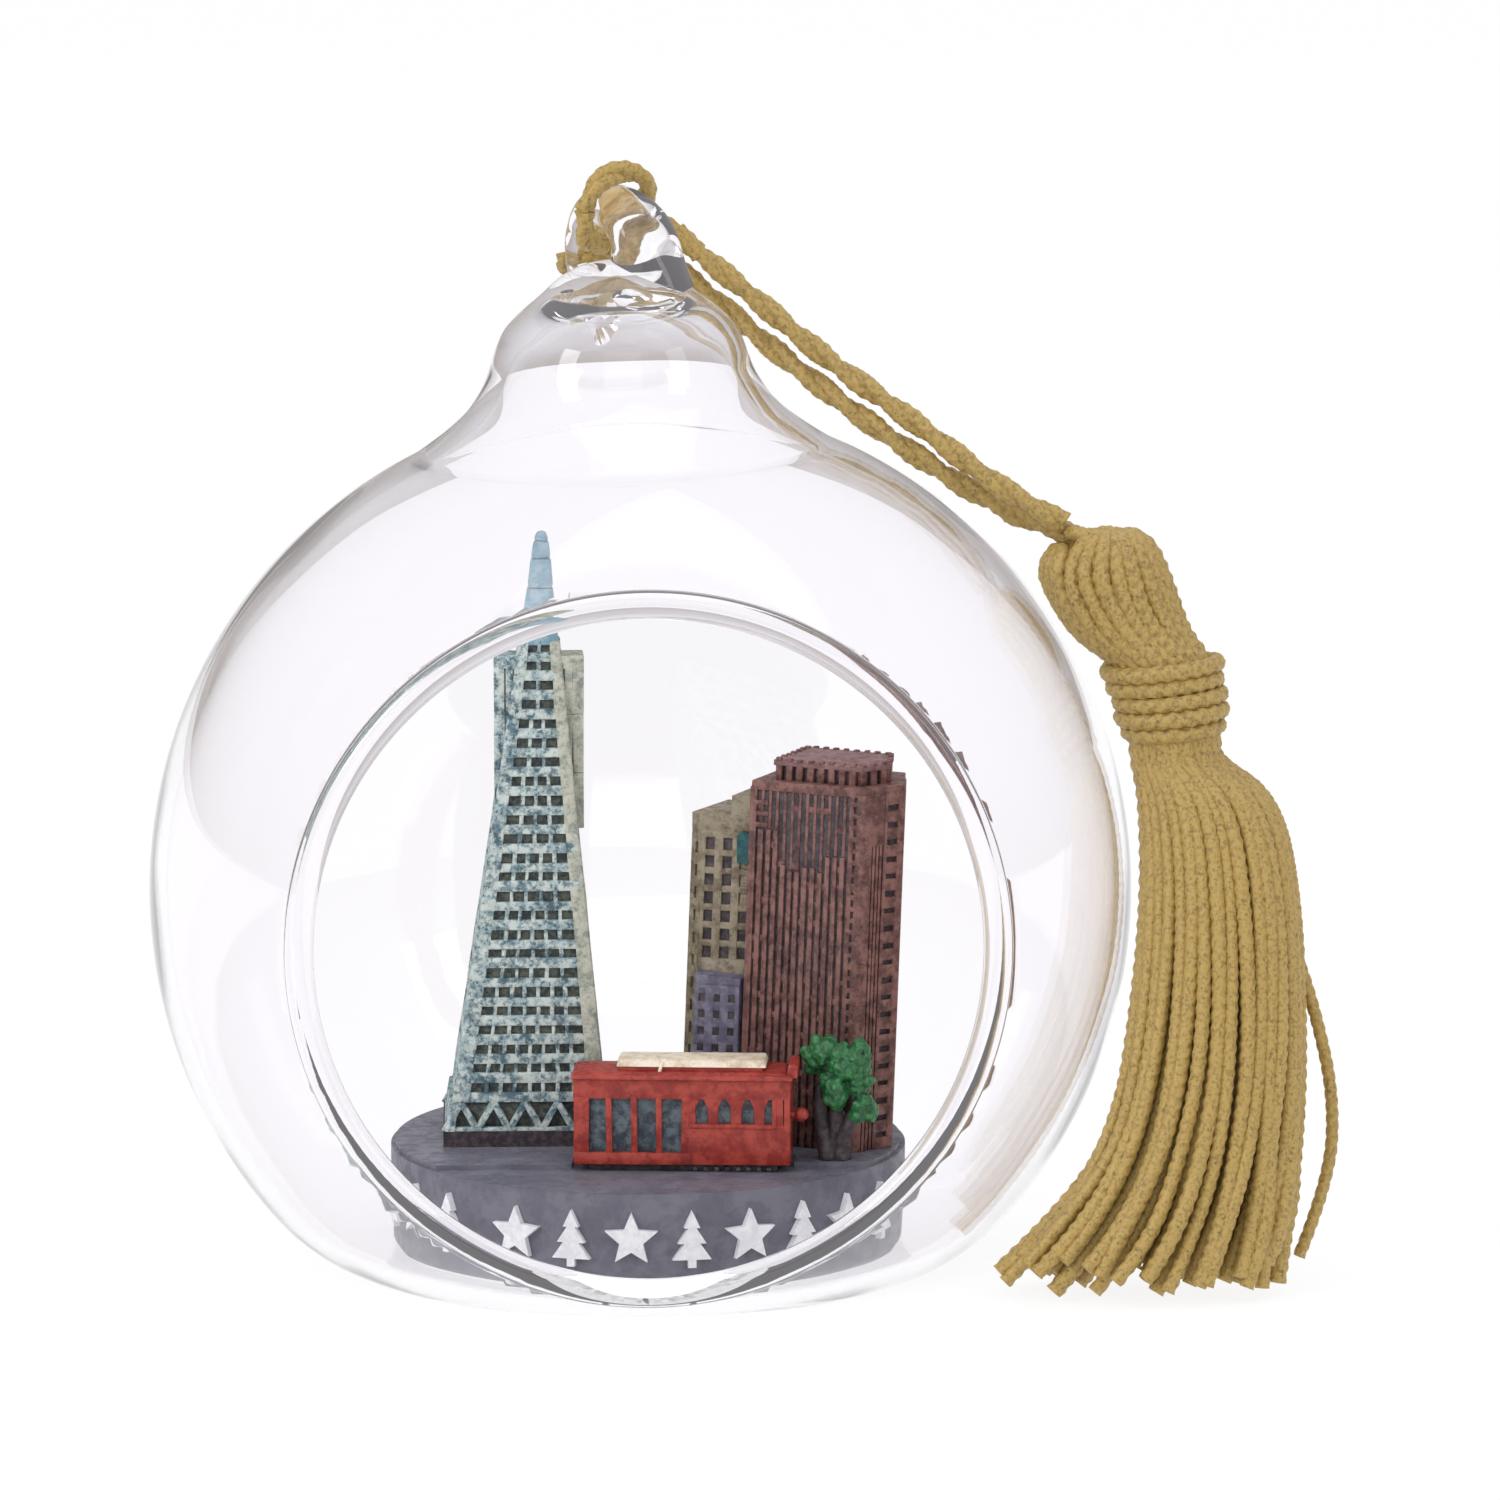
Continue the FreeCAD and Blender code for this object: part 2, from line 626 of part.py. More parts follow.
def tassel_head():
    """The folded strands above the binding."""
    return smooth_body([
        (35.9, 39.5, -4.6, -2.2, 60.6),
        (33.6, 41.4, -6.6, -0.6, 59.8),
        (31.9, 42.7, -7.8, 0.6, 57.4),
        (33.2, 43.6, -8.2, 0.4, 54.6),
        (35.0, 44.5, -8.4, -0.4, 52.4),
        (36.9, 45.6, -8.6, -1.4, BINDING_TOP_Z),
    ])


def tassel_binding():
    """The band of wound cord that ties the strands together."""
    return smooth_body([
        (37.0, 46.4, -9.4, -0.9, BINDING_TOP_Z),
        (37.6, 47.0, -9.9, -1.4, 49.0),
        (38.7, 47.2, -10.3, -2.1, 45.6),
        (39.0, 47.0, -10.2, -2.4, BINDING_LOW_Z),
    ])


def tassel_skirt():
    """The hanging strands as one fan that spreads towards the floor."""
    fan = smooth_body([
        (39.7, 52.0, -12.2, -1.4, SKIRT_PIVOT.z),
        (39.9, 53.4, -14.6, -3.4, 31.0),
        (38.9, 53.8, -16.4, -5.2, 20.0),
        (36.8, 53.4, -17.4, -6.6, 12.0),
        (32.6, 53.0, -18.6, -7.6, 5.6),
        (27.2, 52.6, -19.4, -8.8, 0.3),
    ])
    dome = Part.makeSphere(SKIRT_DOME_R, SKIRT_PIVOT)
    lid = dome.cut(box(30, 60, -30, 20, 20, SKIRT_PIVOT.z))
    return fan.fuse(lid)


# ---------------------------------------------------------------- the whole ornament
def main():
    os.makedirs("parts", exist_ok=True)
    bead = opening_bead()
    hook = glass_hook()
    pieces = {
        "glass_globe": glass_globe(bead),
        "opening_rim": bead,
        "glass_hook": hook,
        "glue_pad": glue_pad(),
        "diorama_base": diorama_base(),
        "pavement": pavement(),
        "relief_motifs": relief_motifs(),
        "tower_plinth": tower_plinth(),
        "tower_truss": tower_truss(),
        "tower_shaft": tower_shaft(),
        "tower_left_wing": tower_wing(-1),
        "tower_right_wing": tower_wing(1),
        "tower_spire": tower_spire(),
        "brown_tower": brown_tower(),
        "brown_tower_crown": brown_tower_crown(),
        "tan_block": tan_block(),
        "tan_block_step": tan_block_step(),
        "teal_panel": teal_panel(),
        "lilac_block": lilac_block(),
        "tram_body": tram_body(),
        "tram_undercarriage": tram_undercarriage(),
        "tram_roof": tram_roof(),
        "tram_clerestory": tram_clerestory(),
        "tram_clerestory_roof": tram_clerestory_roof(),
        "tram_headlamp": tram_headlamp(),
        "tree_trunk": tree_trunk(),
        "tree_foliage": tree_foliage(),
        "rear_shrub": rear_shrub(),
        "cord_hitch": cord_hitch(hook),
        "cord_leg_upper": tube(UPPER_LEG, CORD_D, "cord_leg_upper"),
        "cord_leg_lower": tube(LOWER_LEG, CORD_D, "cord_leg_lower"),
        "tassel_head": tassel_head(),
        "tassel_binding": tassel_binding(),
        "tassel_skirt": tassel_skirt(),
        "stray_strand": tube(STRAY_STRAND, STRAND_D, "stray_strand"),
    }
    for node, shape in pieces.items():
        export(shape, node)


main()
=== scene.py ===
"""Open glass globe ornament: the looks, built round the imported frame. Metres, +Z up, opening towards -Y."""
import math
import random

import bmesh
import bpy
import numpy as np
from mathutils import Matrix, Vector, noise


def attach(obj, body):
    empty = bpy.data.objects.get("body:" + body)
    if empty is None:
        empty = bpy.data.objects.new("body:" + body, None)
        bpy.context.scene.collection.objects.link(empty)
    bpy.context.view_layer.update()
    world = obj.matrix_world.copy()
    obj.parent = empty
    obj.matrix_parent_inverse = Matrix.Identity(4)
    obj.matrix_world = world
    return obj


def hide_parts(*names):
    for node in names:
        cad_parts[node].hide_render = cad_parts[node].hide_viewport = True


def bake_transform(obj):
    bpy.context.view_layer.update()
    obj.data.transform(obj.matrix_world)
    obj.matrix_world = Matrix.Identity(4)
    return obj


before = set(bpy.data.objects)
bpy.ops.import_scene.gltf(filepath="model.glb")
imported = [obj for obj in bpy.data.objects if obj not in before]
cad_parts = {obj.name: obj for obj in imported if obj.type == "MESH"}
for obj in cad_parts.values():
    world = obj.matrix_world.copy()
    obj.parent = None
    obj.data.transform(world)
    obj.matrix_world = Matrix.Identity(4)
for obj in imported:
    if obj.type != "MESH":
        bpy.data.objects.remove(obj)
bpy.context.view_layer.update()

MM = 0.001


def mm(x, y, z):
    return Vector((x, y, z)) * MM


def vectors(points):
    return [mm(*p) for p in points]


def turned(side, up, angle):
    """The direction at an angle from side towards up."""
    return side * math.cos(angle) + up * math.sin(angle)


# ---------------------------------------------------------------- driving sizes, in millimetres
GLOBE_R = 40.0
GLOBE_Z = 31.1
WALL = 1.4
FOOT_R = 19.5
OPENING_R = 27.35
BEAD_R = 1.17
NECK_LEAN = math.radians(2.1)
STREET_Z = 10.1
PAVEMENT_T = 0.4
CORD_PLY = 1.2                 # one ply of the two-ply loop cord
CORD_PITCH = 9.6               # length of one full twist
CORD_D = 1.9
STRAND_D = 1.0

UPPER_LEG = vectors([(3.0, 3.6, 84.3), (5.0, 3.7, 82.6), (9.2, 3.2, 79.2), (15.3, 1.9, 74.1),
                     (22.0, -0.5, 69.5), (27.9, -2.4, 65.0), (31.6, -3.9, 62.8), (34.2, -3.6, 61.4)])
LOWER_LEG = vectors([(1.9, 4.0, 82.2), (4.3, 4.8, 80.4), (7.9, 4.9, 77.3), (12.2, 3.2, 73.8),
                     (18.6, 0.4, 69.1), (24.9, -0.9, 64.9), (29.8, -0.9, 62.0), (33.0, -1.5, 60.9)])
STRAY_STRAND = vectors([(48.4, -6.8, 40.6), (50.4, -7.6, 34.6), (52.2, -8.3, 28.6), (54.3, -9.3, 22.4),
                        (55.8, -10.5, 15.4), (55.4, -11.2, 8.6), (52.9, -12.0, 2.6)])


# ---------------------------------------------------------------- camera, floor and light
def add_camera():
    data = bpy.data.cameras.new("camera")
    data.sensor_width = 36.0
    data.lens = 191.95
    data.clip_start = 0.05
    data.clip_end = 30.0
    camera = bpy.data.objects.new("camera", data)
    camera.location = mm(-14.463, -642.306, 145.857)
    aim = mm(8.918, 0.0, 42.434) - camera.location
    camera.rotation_euler = aim.to_track_quat("-Z", "Y").to_euler()
    bpy.context.collection.objects.link(camera)
    bpy.context.scene.camera = camera


def area_light(name, place, aim, size, power, height=None):
    data = bpy.data.lights.new(name, "AREA")
    data.shape = "RECTANGLE"
    data.size = size
    data.size_y = height or size
    data.energy = power
    light = bpy.data.objects.new(name, data)
    light.location = place
    light.rotation_euler = (Vector(aim) - Vector(place)).to_track_quat("-Z", "Y").to_euler()
    bpy.context.collection.objects.link(light)


def add_world():
    """A pale even room, with darker sides at eye height that give the glass its edge lines."""
    world = bpy.data.worlds.new("studio")
    bpy.context.scene.world = world
    world.use_nodes = True
    nodes, links = world.node_tree.nodes, world.node_tree.links
    background = nodes["Background"]
    place = nodes.new("ShaderNodeTexCoord")
    axes = nodes.new("ShaderNodeSeparateXYZ")
    links.new(place.outputs["Generated"], axes.inputs[0])
    ramp = nodes.new("ShaderNodeValToRGB")
    ramp.color_ramp.elements[0].position = 0.0
    ramp.color_ramp.elements[0].color = (0.42, 0.38, 0.35, 1)
    ramp.color_ramp.elements[1].position = 1.0
    ramp.color_ramp.elements[1].color = (0.95, 0.95, 1.0, 1)
    middle = ramp.color_ramp.elements.new(0.30)
    middle.color = (0.62, 0.61, 0.62, 1)
    links.new(axes.outputs["Z"], ramp.inputs["Fac"])
    links.new(ramp.outputs["Color"], background.inputs["Color"])
    background.inputs["Strength"].default_value = 1.0


def add_floor():
    mesh = bpy.data.meshes.new("floor")
    half = 12.0
    mesh.from_pydata([(-half, -half, 0), (half, -half, 0), (half, half, 0), (-half, half, 0)], [],
                     [(0, 1, 2, 3)])
    floor = bpy.data.objects.new("floor", mesh)
    bpy.context.collection.objects.link(floor)
    paint = Paint("pale_floor", (0.14, 0.14, 0.14), 0.9, Specular_IOR_Level=0.0, Emission_Strength=0.88)
    paint.set("Emission Color", (1.0, 1.0, 1.0, 1))
    mesh.materials.append(paint.material)


def add_studio():
    bpy.context.scene.view_settings.view_transform = "Standard"
    add_world()
    add_floor()
    add_camera()
    target = (0.0, 0.0, 0.04)
    area_light("window_left", (-0.75, -0.55, 0.55), target, 0.28, 2.5, height=0.42)
    area_light("soft_top", (0.1, -0.1, 1.1), target, 0.9, 1.7)
    area_light("soft_right", (0.9, -0.6, 0.6), target, 0.35, 1.2, height=0.5)
    area_light("front_fill", (0.0, -1.3, 0.7), target, 0.8, 1.3)


# ---------------------------------------------------------------- material helpers
class Paint:
    """A Principled material with short ways to add nodes."""

    def __init__(self, name, colour, roughness=0.5, **sockets):
        self.material = bpy.data.materials.new(name)
        self.material.use_nodes = True
        self.tree = self.material.node_tree
        self.shader = self.tree.nodes["Principled BSDF"]
        self.set("Base Color", (*colour, 1.0))
        self.set("Roughness", roughness)
        for socket, value in sockets.items():
            self.set(socket.replace("_", " "), value)
        self.place = self.tree.nodes.new("ShaderNodeTexCoord").outputs["Object"]

    def set(self, socket, value):
        self.shader.inputs[socket].default_value = value

    def node(self, kind, **values):
        made = self.tree.nodes.new("ShaderNode" + kind)
        for key, value in values.items():
            if hasattr(made, key):
                setattr(made, key, value)
            else:
                made.inputs[key.replace("_", " ")].default_value = value
        return made

    def link(self, source, target):
        self.tree.links.new(source, target)

    def scaled(self, x, y, z):
        """The object's coordinates, multiplied along each axis."""
        mapping = self.node("Mapping")
        mapping.inputs["Scale"].default_value = (x, y, z)
        self.link(self.place, mapping.inputs["Vector"])
        return mapping.outputs["Vector"]

    def noise(self, scale, detail=3.0, rough=0.55, vector=None):
        made = self.node("TexNoise", Scale=scale, Detail=detail, Roughness=rough)
        self.link(vector or self.place, made.inputs["Vector"])
        return made.outputs["Fac"]

    def ramp(self, source, low, high, stops=((0, 0, 0), (1, 1, 1))):
        made = self.node("ValToRGB")
        made.color_ramp.elements[0].position = low
        made.color_ramp.elements[0].color = (*stops[0], 1)
        made.color_ramp.elements[1].position = high
        made.color_ramp.elements[1].color = (*stops[1], 1)
        self.link(source, made.inputs["Fac"])
        return made.outputs["Color"]

    def math(self, operation, a, b):
        made = self.node("Math", operation=operation)
        for socket, value in ((made.inputs[0], a), (made.inputs[1], b)):
            if isinstance(value, (int, float)):
                socket.default_value = value
            else:
                self.link(value, socket)
        return made.outputs[0]

    def mix(self, factor, a, b):
        """The colour a where factor is 0 and b where it is 1; a and b are colours or sockets."""
        made = self.node("Mix", data_type="RGBA")
        self.link(factor, made.inputs["Factor"])
        for socket, value in ((made.inputs["A"], a), (made.inputs["B"], b)):
            if isinstance(value, tuple):
                socket.default_value = (*value, 1)
            else:
                self.link(value, socket)
        return made.outputs["Result"]

    def colour(self, source):
        self.link(source, self.shader.inputs["Base Color"])

    def roughness(self, source, low, high):
        made = self.node("MapRange")
        made.inputs["To Min"].default_value = low
        made.inputs["To Max"].default_value = high
        self.link(source, made.inputs["Value"])
        self.link(made.outputs["Result"], self.shader.inputs["Roughness"])

    def bump(self, height, distance, strength):
        made = self.node("Bump", Strength=strength, Distance=distance)
        self.link(height, made.inputs["Height"])
        self.link(made.outputs["Normal"], self.shader.inputs["Normal"])

    def cavity(self):
        """Dark in grooves, bright on edges, from the mesh itself."""
        return self.node("NewGeometry").outputs["Pointiness"]


def finish_piece(obj, body, material, slot, *nodes):
    """Give a new piece its material and body, and let it stand for its CAD nodes. The slot argument is not
    used.
    """
    obj.data.materials.clear()
    obj.data.materials.append(material)
    if body:
        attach(obj, body)
    if nodes:
        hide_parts(*nodes)


def new_object(name, mesh):
    obj = bpy.data.objects.new(name, mesh)
    bpy.context.collection.objects.link(obj)
    return obj


def mesh_object(name, verts, faces, smooth=True):
    mesh = bpy.data.meshes.new(name)
    mesh.from_pydata([tuple(v) for v in verts], [], faces)
    mesh.validate()
    if smooth:
        mesh.shade_smooth()
    return new_object(name, mesh)


# ---------------------------------------------------------------- strands that follow a smooth route
def spline_points(points):
    """Evenly readable points along the smooth line that has these control points."""
    curve = bpy.data.curves.new("route", "CURVE")
    curve.dimensions = "3D"
    curve.resolution_u = 16
    spline = curve.splines.new("NURBS")
    spline.points.add(len(points) - 1)
    for point, place in zip(spline.points, points):
        point.co = (*place, 1.0)
    spline.order_u = 3
    spline.use_endpoint_u = True
    holder = bpy.data.objects.new("route", curve)
    mesh = bpy.data.meshes.new_from_object(holder)
    line = [v.co.copy() for v in mesh.vertices]
    bpy.data.meshes.remove(mesh)
    bpy.data.objects.remove(holder)
    bpy.data.curves.remove(curve)
    return line


def resample(line, step):
    """Points spaced evenly along a line, about one step apart."""
    lengths = [0.0]
    for a, b in zip(line, line[1:]):
        lengths.append(lengths[-1] + (b - a).length)
    count = max(2, int(lengths[-1] / step) + 1)
    wanted = np.linspace(0.0, lengths[-1], count)
    flat = np.array([tuple(p) for p in line])
    return [Vector(p) for p in np.stack([np.interp(wanted, lengths, flat[:, k]) for k in range(3)], 1)]


def line_length(line):
    return sum((b - a).length for a, b in zip(line, line[1:]))


def frames_along(line):
    """A tangent, a side and an up for each point, turned as little as possible."""
    frames = []
    side = None
    for i, point in enumerate(line):
        ahead = (line[min(i + 1, len(line) - 1)] - line[max(i - 1, 0)]).normalized()
        if side is None:
            side = ahead.orthogonal().normalized()
        side = (side - ahead * side.dot(ahead)).normalized()
        frames.append((point, ahead, side, ahead.cross(side)))
    return frames


class MeshParts:
    """Collects the vertices and faces of one piece."""

    def __init__(self):
        self.verts = []
        self.faces = []

    def ring_tube(self, rings):
        first = len(self.verts)
        n = len(rings[0])
        for ring in rings:
            self.verts.extend(ring)
        for i in range(len(rings) - 1):
            for j in range(n):
                a = first + i * n + j
                b = first + i * n + (j + 1) % n
                self.faces.append((a, b, b + n, a + n))
        self.faces.append(tuple(first + j for j in reversed(range(n))))
        last = first + (len(rings) - 1) * n
        self.faces.append(tuple(last + j for j in range(n)))

    def build(self, name, smooth=True):
        return mesh_object(name, self.verts, self.faces, smooth)


def round_tube(parts, line, radius_at, sides):
    """A plain tube; radius_at gives its radius from the share of the way along."""
    rings = []
    frames = frames_along(line)
    for i, (point, _, side, up) in enumerate(frames):
        radius = radius_at(i / (len(frames) - 1))
        rings.append([point + turned(side, up, 2 * math.pi * j / sides) * radius for j in range(sides)])
    parts.ring_tube(rings)


def knitted_strand(parts, line, radius, stitch, start_angle=0.0, sides=12):
    """A chain-knitted cord: two rows of slanting stitches on each face, as V shapes, in real relief."""
    rings = []
    travelled = 0.0
    frames = frames_along(line)
    for i, (point, _, side, up) in enumerate(frames):
        if i:
            travelled += (point - frames[i - 1][0]).length
        ring = []
        for j in range(sides):
            a = 2 * math.pi * j / sides + start_angle
            offset = 0.5 if math.sin(a) > 0 else 0.0
            wave = math.sin(2 * math.pi * (travelled / stitch + 0.75 * abs(math.cos(a)) + offset))
            groove = 0.12 * math.exp(-(math.cos(a) / 0.3) ** 2)
            r = radius * (1.0 + 0.10 * wave - groove)
            ring.append(point + side * math.cos(a) * r + up * math.sin(a) * r)
        rings.append(ring)
    parts.ring_tube(rings)


# ---------------------------------------------------------------- gold cord
def gold_cord_material():
    """Rayon cord: a satin gold, with a painted highlight on the stitch tops and painted shade in the gaps
    between them.
    """
    paint = Paint("gold_rayon", (0.34, 0.21, 0.055), 0.42, Sheen_Weight=0.25, Sheen_Roughness=0.4,
                  Specular_IOR_Level=0.55)
    paint.set("Sheen Tint", (0.95, 0.8, 0.45, 1))
    # painted shade and highlight: from the mesh's pointiness, dark in the hollows between stitches and plies,
    # light on the stitch tops
    groove = paint.ramp(paint.cavity(), 0.462, 0.54, ((0.045, 0.022, 0.004), (0.48, 0.325, 0.09)))
    patches = paint.ramp(paint.noise(900, 3), 0.35, 0.7)
    tone = paint.mix(patches, (0.12, 0.07, 0.014), (0.33, 0.215, 0.052))
    paint.colour(paint.mix(paint.ramp(paint.noise(3600, 2), 0.22, 0.54), tone, groove))
    fibres = paint.noise(1.0, 2, 0.6, paint.scaled(9000, 9000, 2500))
    paint.roughness(fibres, 0.30, 0.55)
    paint.bump(fibres, 0.00012, 0.5)
    return paint.material


def two_ply_cord(name, points, start_turn=0.0):
    """A loose twist of two knitted plies round a smooth route."""
    line = resample(spline_points(points), 0.16 * MM)
    parts = MeshParts()
    step = (line[1] - line[0]).length
    orbit = (CORD_D - CORD_PLY) / 2 * MM
    frames = frames_along(line)
    for ply in (0, 1):
        centre = []
        for i, (point, _, side, up) in enumerate(frames):
            a = 2 * math.pi * (i * step / (CORD_PITCH * MM)) + ply * math.pi + start_turn
            centre.append(point + turned(side, up, a) * orbit)
        knitted_strand(parts, centre, CORD_PLY / 2 * MM, 1.05 * MM, start_angle=ply * 1.3)
    return parts.build(name), line


def add_loop_cord(gold):
    """The two legs of the hanging loop, from the hook to the tassel, turning with the hitch at the hook."""
    for name, route, turn in (("cord_leg_upper", UPPER_LEG, 0.4), ("cord_leg_lower", LOWER_LEG, 2.2)):
        leg, line = two_ply_cord("loop_" + name, route, turn)
        finish_piece(leg, None, gold, "gold_cord", name)
        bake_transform(leg)


def add_stray_strand(gold):
    line = resample(spline_points(STRAY_STRAND), 0.16 * MM)
    parts = MeshParts()
    knitted_strand(parts, line, STRAND_D / 2 * MM, 1.0 * MM)
    strand = parts.build("loose_strand")
    finish_piece(strand, "tassel_fringe", gold, "gold_cord", "stray_strand")


HITCH_AT = mm(-2.1, 0.9, 86.6)
HITCH_AXIS = Vector((-0.66, 0.594, 0.462)).normalized()
HITCH_R = 3.15


def add_hitch(gold):
    """The turn over the hook, its tails behind the shoulder, and the bend that closes the loop."""
    across = Vector((0, 0, 1)).cross(HITCH_AXIS).normalized()
    up = HITCH_AXIS.cross(across)
    points = []
    for k in range(15):
        a = 2 * math.pi * k / 14
        lift = 0.5 * MM * math.sin(2 * a)
        points.append(HITCH_AT + turned(across, up, a) * HITCH_R * 1.1 * MM + HITCH_AXIS * lift)
    turn, _ = two_ply_cord("hitch_turn", points)
    finish_piece(turn, "globe", gold, "gold_cord", "cord_hitch")
    low_tail = [(-6.3, 5.0, 81.6), (-5.2, 5.6, 82.2), (-3.4, 5.4, 82.6), (-1.4, 4.9, 83.0), (0.4, 4.5, 83.2)]
    high_tail = [(-4.6, 4.2, 84.0), (-2.6, 4.3, 85.0), (-0.6, 3.9, 85.4), (1.3, 3.5, 85.2)]
    bend = [(34.3, -2.4, 60.5), (35.4, -3.4, 60.2)]
    for name, body, route, start_turn in (
            ("hitch_tail", "globe", vectors(low_tail) + LOWER_LEG[:2], 1.1),
            ("hitch_tail_upper", "globe", vectors(high_tail) + UPPER_LEG[:2], 2.3),
            ("loop_bend", "hanger_cord", LOWER_LEG[-2:] + vectors(bend), 0.4)):
        piece, _ = two_ply_cord(name, route, start_turn)
        finish_piece(piece, body, gold, "gold_cord")


# ---------------------------------------------------------------- glass
def clear_glass():
    """Blown glass: faintly lilac, slightly rippled, with a faint painted glow that stands in for light
    carried along inside the walls, open to shadow rays.
    """
    # the emission is a painted glow, not a lamp: it lightens paths that stay long inside the glass
    paint = Paint("clear_glass", (0.945, 0.935, 0.955), 0.0, IOR=1.5, Transmission_Weight=1.0,
                  Emission_Strength=0.022)
    paint.set("Emission Color", (0.95, 0.92, 0.97, 1))
    paint.bump(paint.noise(55.0, 1.0, 0.5), 0.0006, 0.25)
    mixed = paint.node("MixShader")
    paint.link(paint.node("LightPath").outputs["Is Shadow Ray"], mixed.inputs["Fac"])
    paint.link(paint.shader.outputs[0], mixed.inputs[1])
    paint.link(paint.node("BsdfTransparent").outputs[0], mixed.inputs[2])
    paint.link(mixed.outputs[0], paint.tree.nodes["Material Output"].inputs["Surface"])
    return paint.material


def arc_points(centre, radius, start, end, count):
    """Points (r, z) on an arc about (r, z) centre, between two angles measured from +r."""
    return [(centre[0] + radius * math.cos(a), centre[1] + radius * math.sin(a))
            for a in np.linspace(start, end, count)]


def smooth_profile(points, count):
    """A smooth line through a few (r, z) control points."""
    route = spline_points([mm(r, 0, z) for r, z in points])
    route = resample(route, line_length(route) / count)
    return [(p.x / MM, p.z / MM) for p in route]


def globe_profile(radius, foot_z, foot_r, neck):
    """Half section from the foot's middle to the neck's tip, in millimetres."""
    drop = GLOBE_Z - foot_z
    blend_r = (radius ** 2 - foot_r ** 2 - drop ** 2) / (2 * (radius - drop))
    turn = math.atan2(foot_z + blend_r - GLOBE_Z, foot_r)
    profile = [(foot_r * k / 6, foot_z) for k in range(6)]
    profile += arc_points((foot_r, foot_z + blend_r), blend_r, -math.pi / 2, turn, 14)
    flare = math.acos(neck[0][0] / radius)
    profile += arc_points((0, GLOBE_Z), radius, turn, flare, 90)[1:]
    profile += smooth_profile(neck, 60)[1:]
    return profile


def revolve(profile, segments, inward=False):
    """Turn a half section round the upright axis, leaning what is above the globe's middle."""
    verts, faces = [], []
    for r, z in profile[1:-1]:
        for k in range(segments):
            a = 2 * math.pi * k / segments
            verts.append(Vector((r * math.cos(a), r * math.sin(a), z)))
    rows = len(profile) - 2
    for i in range(rows - 1):
        for k in range(segments):
            a, b = i * segments + k, i * segments + (k + 1) % segments
            faces.append((a, b, b + segments, a + segments))
    low, top = len(verts), len(verts) + 1
    verts += [Vector((0, 0, profile[0][1])), Vector((0, 0, profile[-1][1]))]
    last = (rows - 1) * segments
    for k in range(segments):
        faces.append((low, (k + 1) % segments, k))
        faces.append((top, last + k, last + (k + 1) % segments))
    middle = Vector((0, 0, GLOBE_Z))
    for v in verts:
        if v.z > GLOBE_Z:
            leaning = Matrix.Rotation(-NECK_LEAN, 3, "Y") @ (v - middle)
            share = min(1.0, (v.z - GLOBE_Z) / 12.0)
            v.xyz = v.lerp(leaning + middle, share)
    if inward:
        faces = [tuple(reversed(f)) for f in faces]
    return [v * MM for v in verts], faces


def glass_shell():
    outer_neck = [(17.0, GLOBE_Z + math.sqrt(GLOBE_R ** 2 - 17.0 ** 2)), (13.6, 69.4), (11.0, 72.6),
                  (9.9, 76.3), (8.7, 78.0), (6.2, 79.9), (4.6, 81.4), (2.2, 82.5), (0, 82.6)]
    inner_r = GLOBE_R - WALL
    inner_neck = [(15.9, GLOBE_Z + math.sqrt(inner_r ** 2 - 15.9 ** 2)), (12.4, 68.6), (9.8, 71.6),
                  (8.7, 75.2), (7.3, 76.9), (4.9, 78.3), (2.2, 79.2), (0, 79.5)]
    verts, faces = revolve(globe_profile(GLOBE_R, 0.0, FOOT_R, outer_neck), 192)
    inner, inner_faces = revolve(globe_profile(inner_r, WALL, FOOT_R, inner_neck), 192, inward=True)
    shift = len(verts)
    faces += [tuple(i + shift for i in f) for f in inner_faces]
    return mesh_object("glass_body", verts + inner, faces)


TORUS_RINGS, TORUS_SIDES = 192, 32


def torus(name, centre, axis, major, minor):
    across = axis.orthogonal().normalized()
    up = axis.cross(across)
    verts, faces = [], []
    for i in range(TORUS_RINGS):
        a = 2 * math.pi * i / TORUS_RINGS
        out = turned(across, up, a)
        for j in range(TORUS_SIDES):
            b = 2 * math.pi * j / TORUS_SIDES
            verts.append(centre + out * (major + minor * math.cos(b)) + axis * minor * math.sin(b))
            c, d = (i + 1) % TORUS_RINGS, (j + 1) % TORUS_SIDES
            here, there = i * TORUS_SIDES, c * TORUS_SIDES
            faces.append((here + j, here + d, there + d, there + j))
    return mesh_object(name, verts, faces)


def cylinder(name, centre, axis, radius, length):
    across = axis.orthogonal().normalized()
    up = axis.cross(across)
    parts, sides = MeshParts(), 192
    parts.ring_tube([[centre + axis * d + turned(across, up, 2 * math.pi * k / sides) * radius
                      for k in range(sides)] for d in (0, length)])
    return parts.build(name, smooth=False)


def outward_normals(obj):
    mesh = bmesh.new()
    mesh.from_mesh(obj.data)
    bmesh.ops.recalc_face_normals(mesh, faces=mesh.faces)
    mesh.to_mesh(obj.data)
    mesh.free()


def combine(target, other, operation, crossing=False):
    """Boolean the other object into the target, and remove the other."""
    modifier = target.modifiers.new("boolean", "BOOLEAN")
    modifier.operation = operation
    modifier.solver = "EXACT"
    modifier.use_self = crossing
    modifier.object = other
    apply_modifiers(target)
    bpy.data.objects.remove(other)


def apply_modifiers(obj):
    graph = bpy.context.evaluated_depsgraph_get()
    mesh = bpy.data.meshes.new_from_object(obj.evaluated_get(graph))
    obj.modifiers.clear()
    old = obj.data
    obj.data = mesh
    bpy.data.meshes.remove(old)


HOOK = [((0.95, -0.7, 80.0), 3.5), ((0.75, -0.8, 81.2), 3.05), ((0.3, -0.8, 83.6), 2.7),
        ((-0.6, -0.4, 85.6), 2.3), ((-2.0, 0.7, 86.7), 1.85), ((-3.5, 2.1, 86.7), 1.3),
        ((-4.8, 3.4, 85.4), 0.8), ((-5.5, 3.9, 83.2), 0.5), ((-5.3, 3.5, 80.9), 0.5),
        ((-3.9, 2.3, 79.0), 0.8), ((-2.6, 1.4, 77.8), 1.4)]


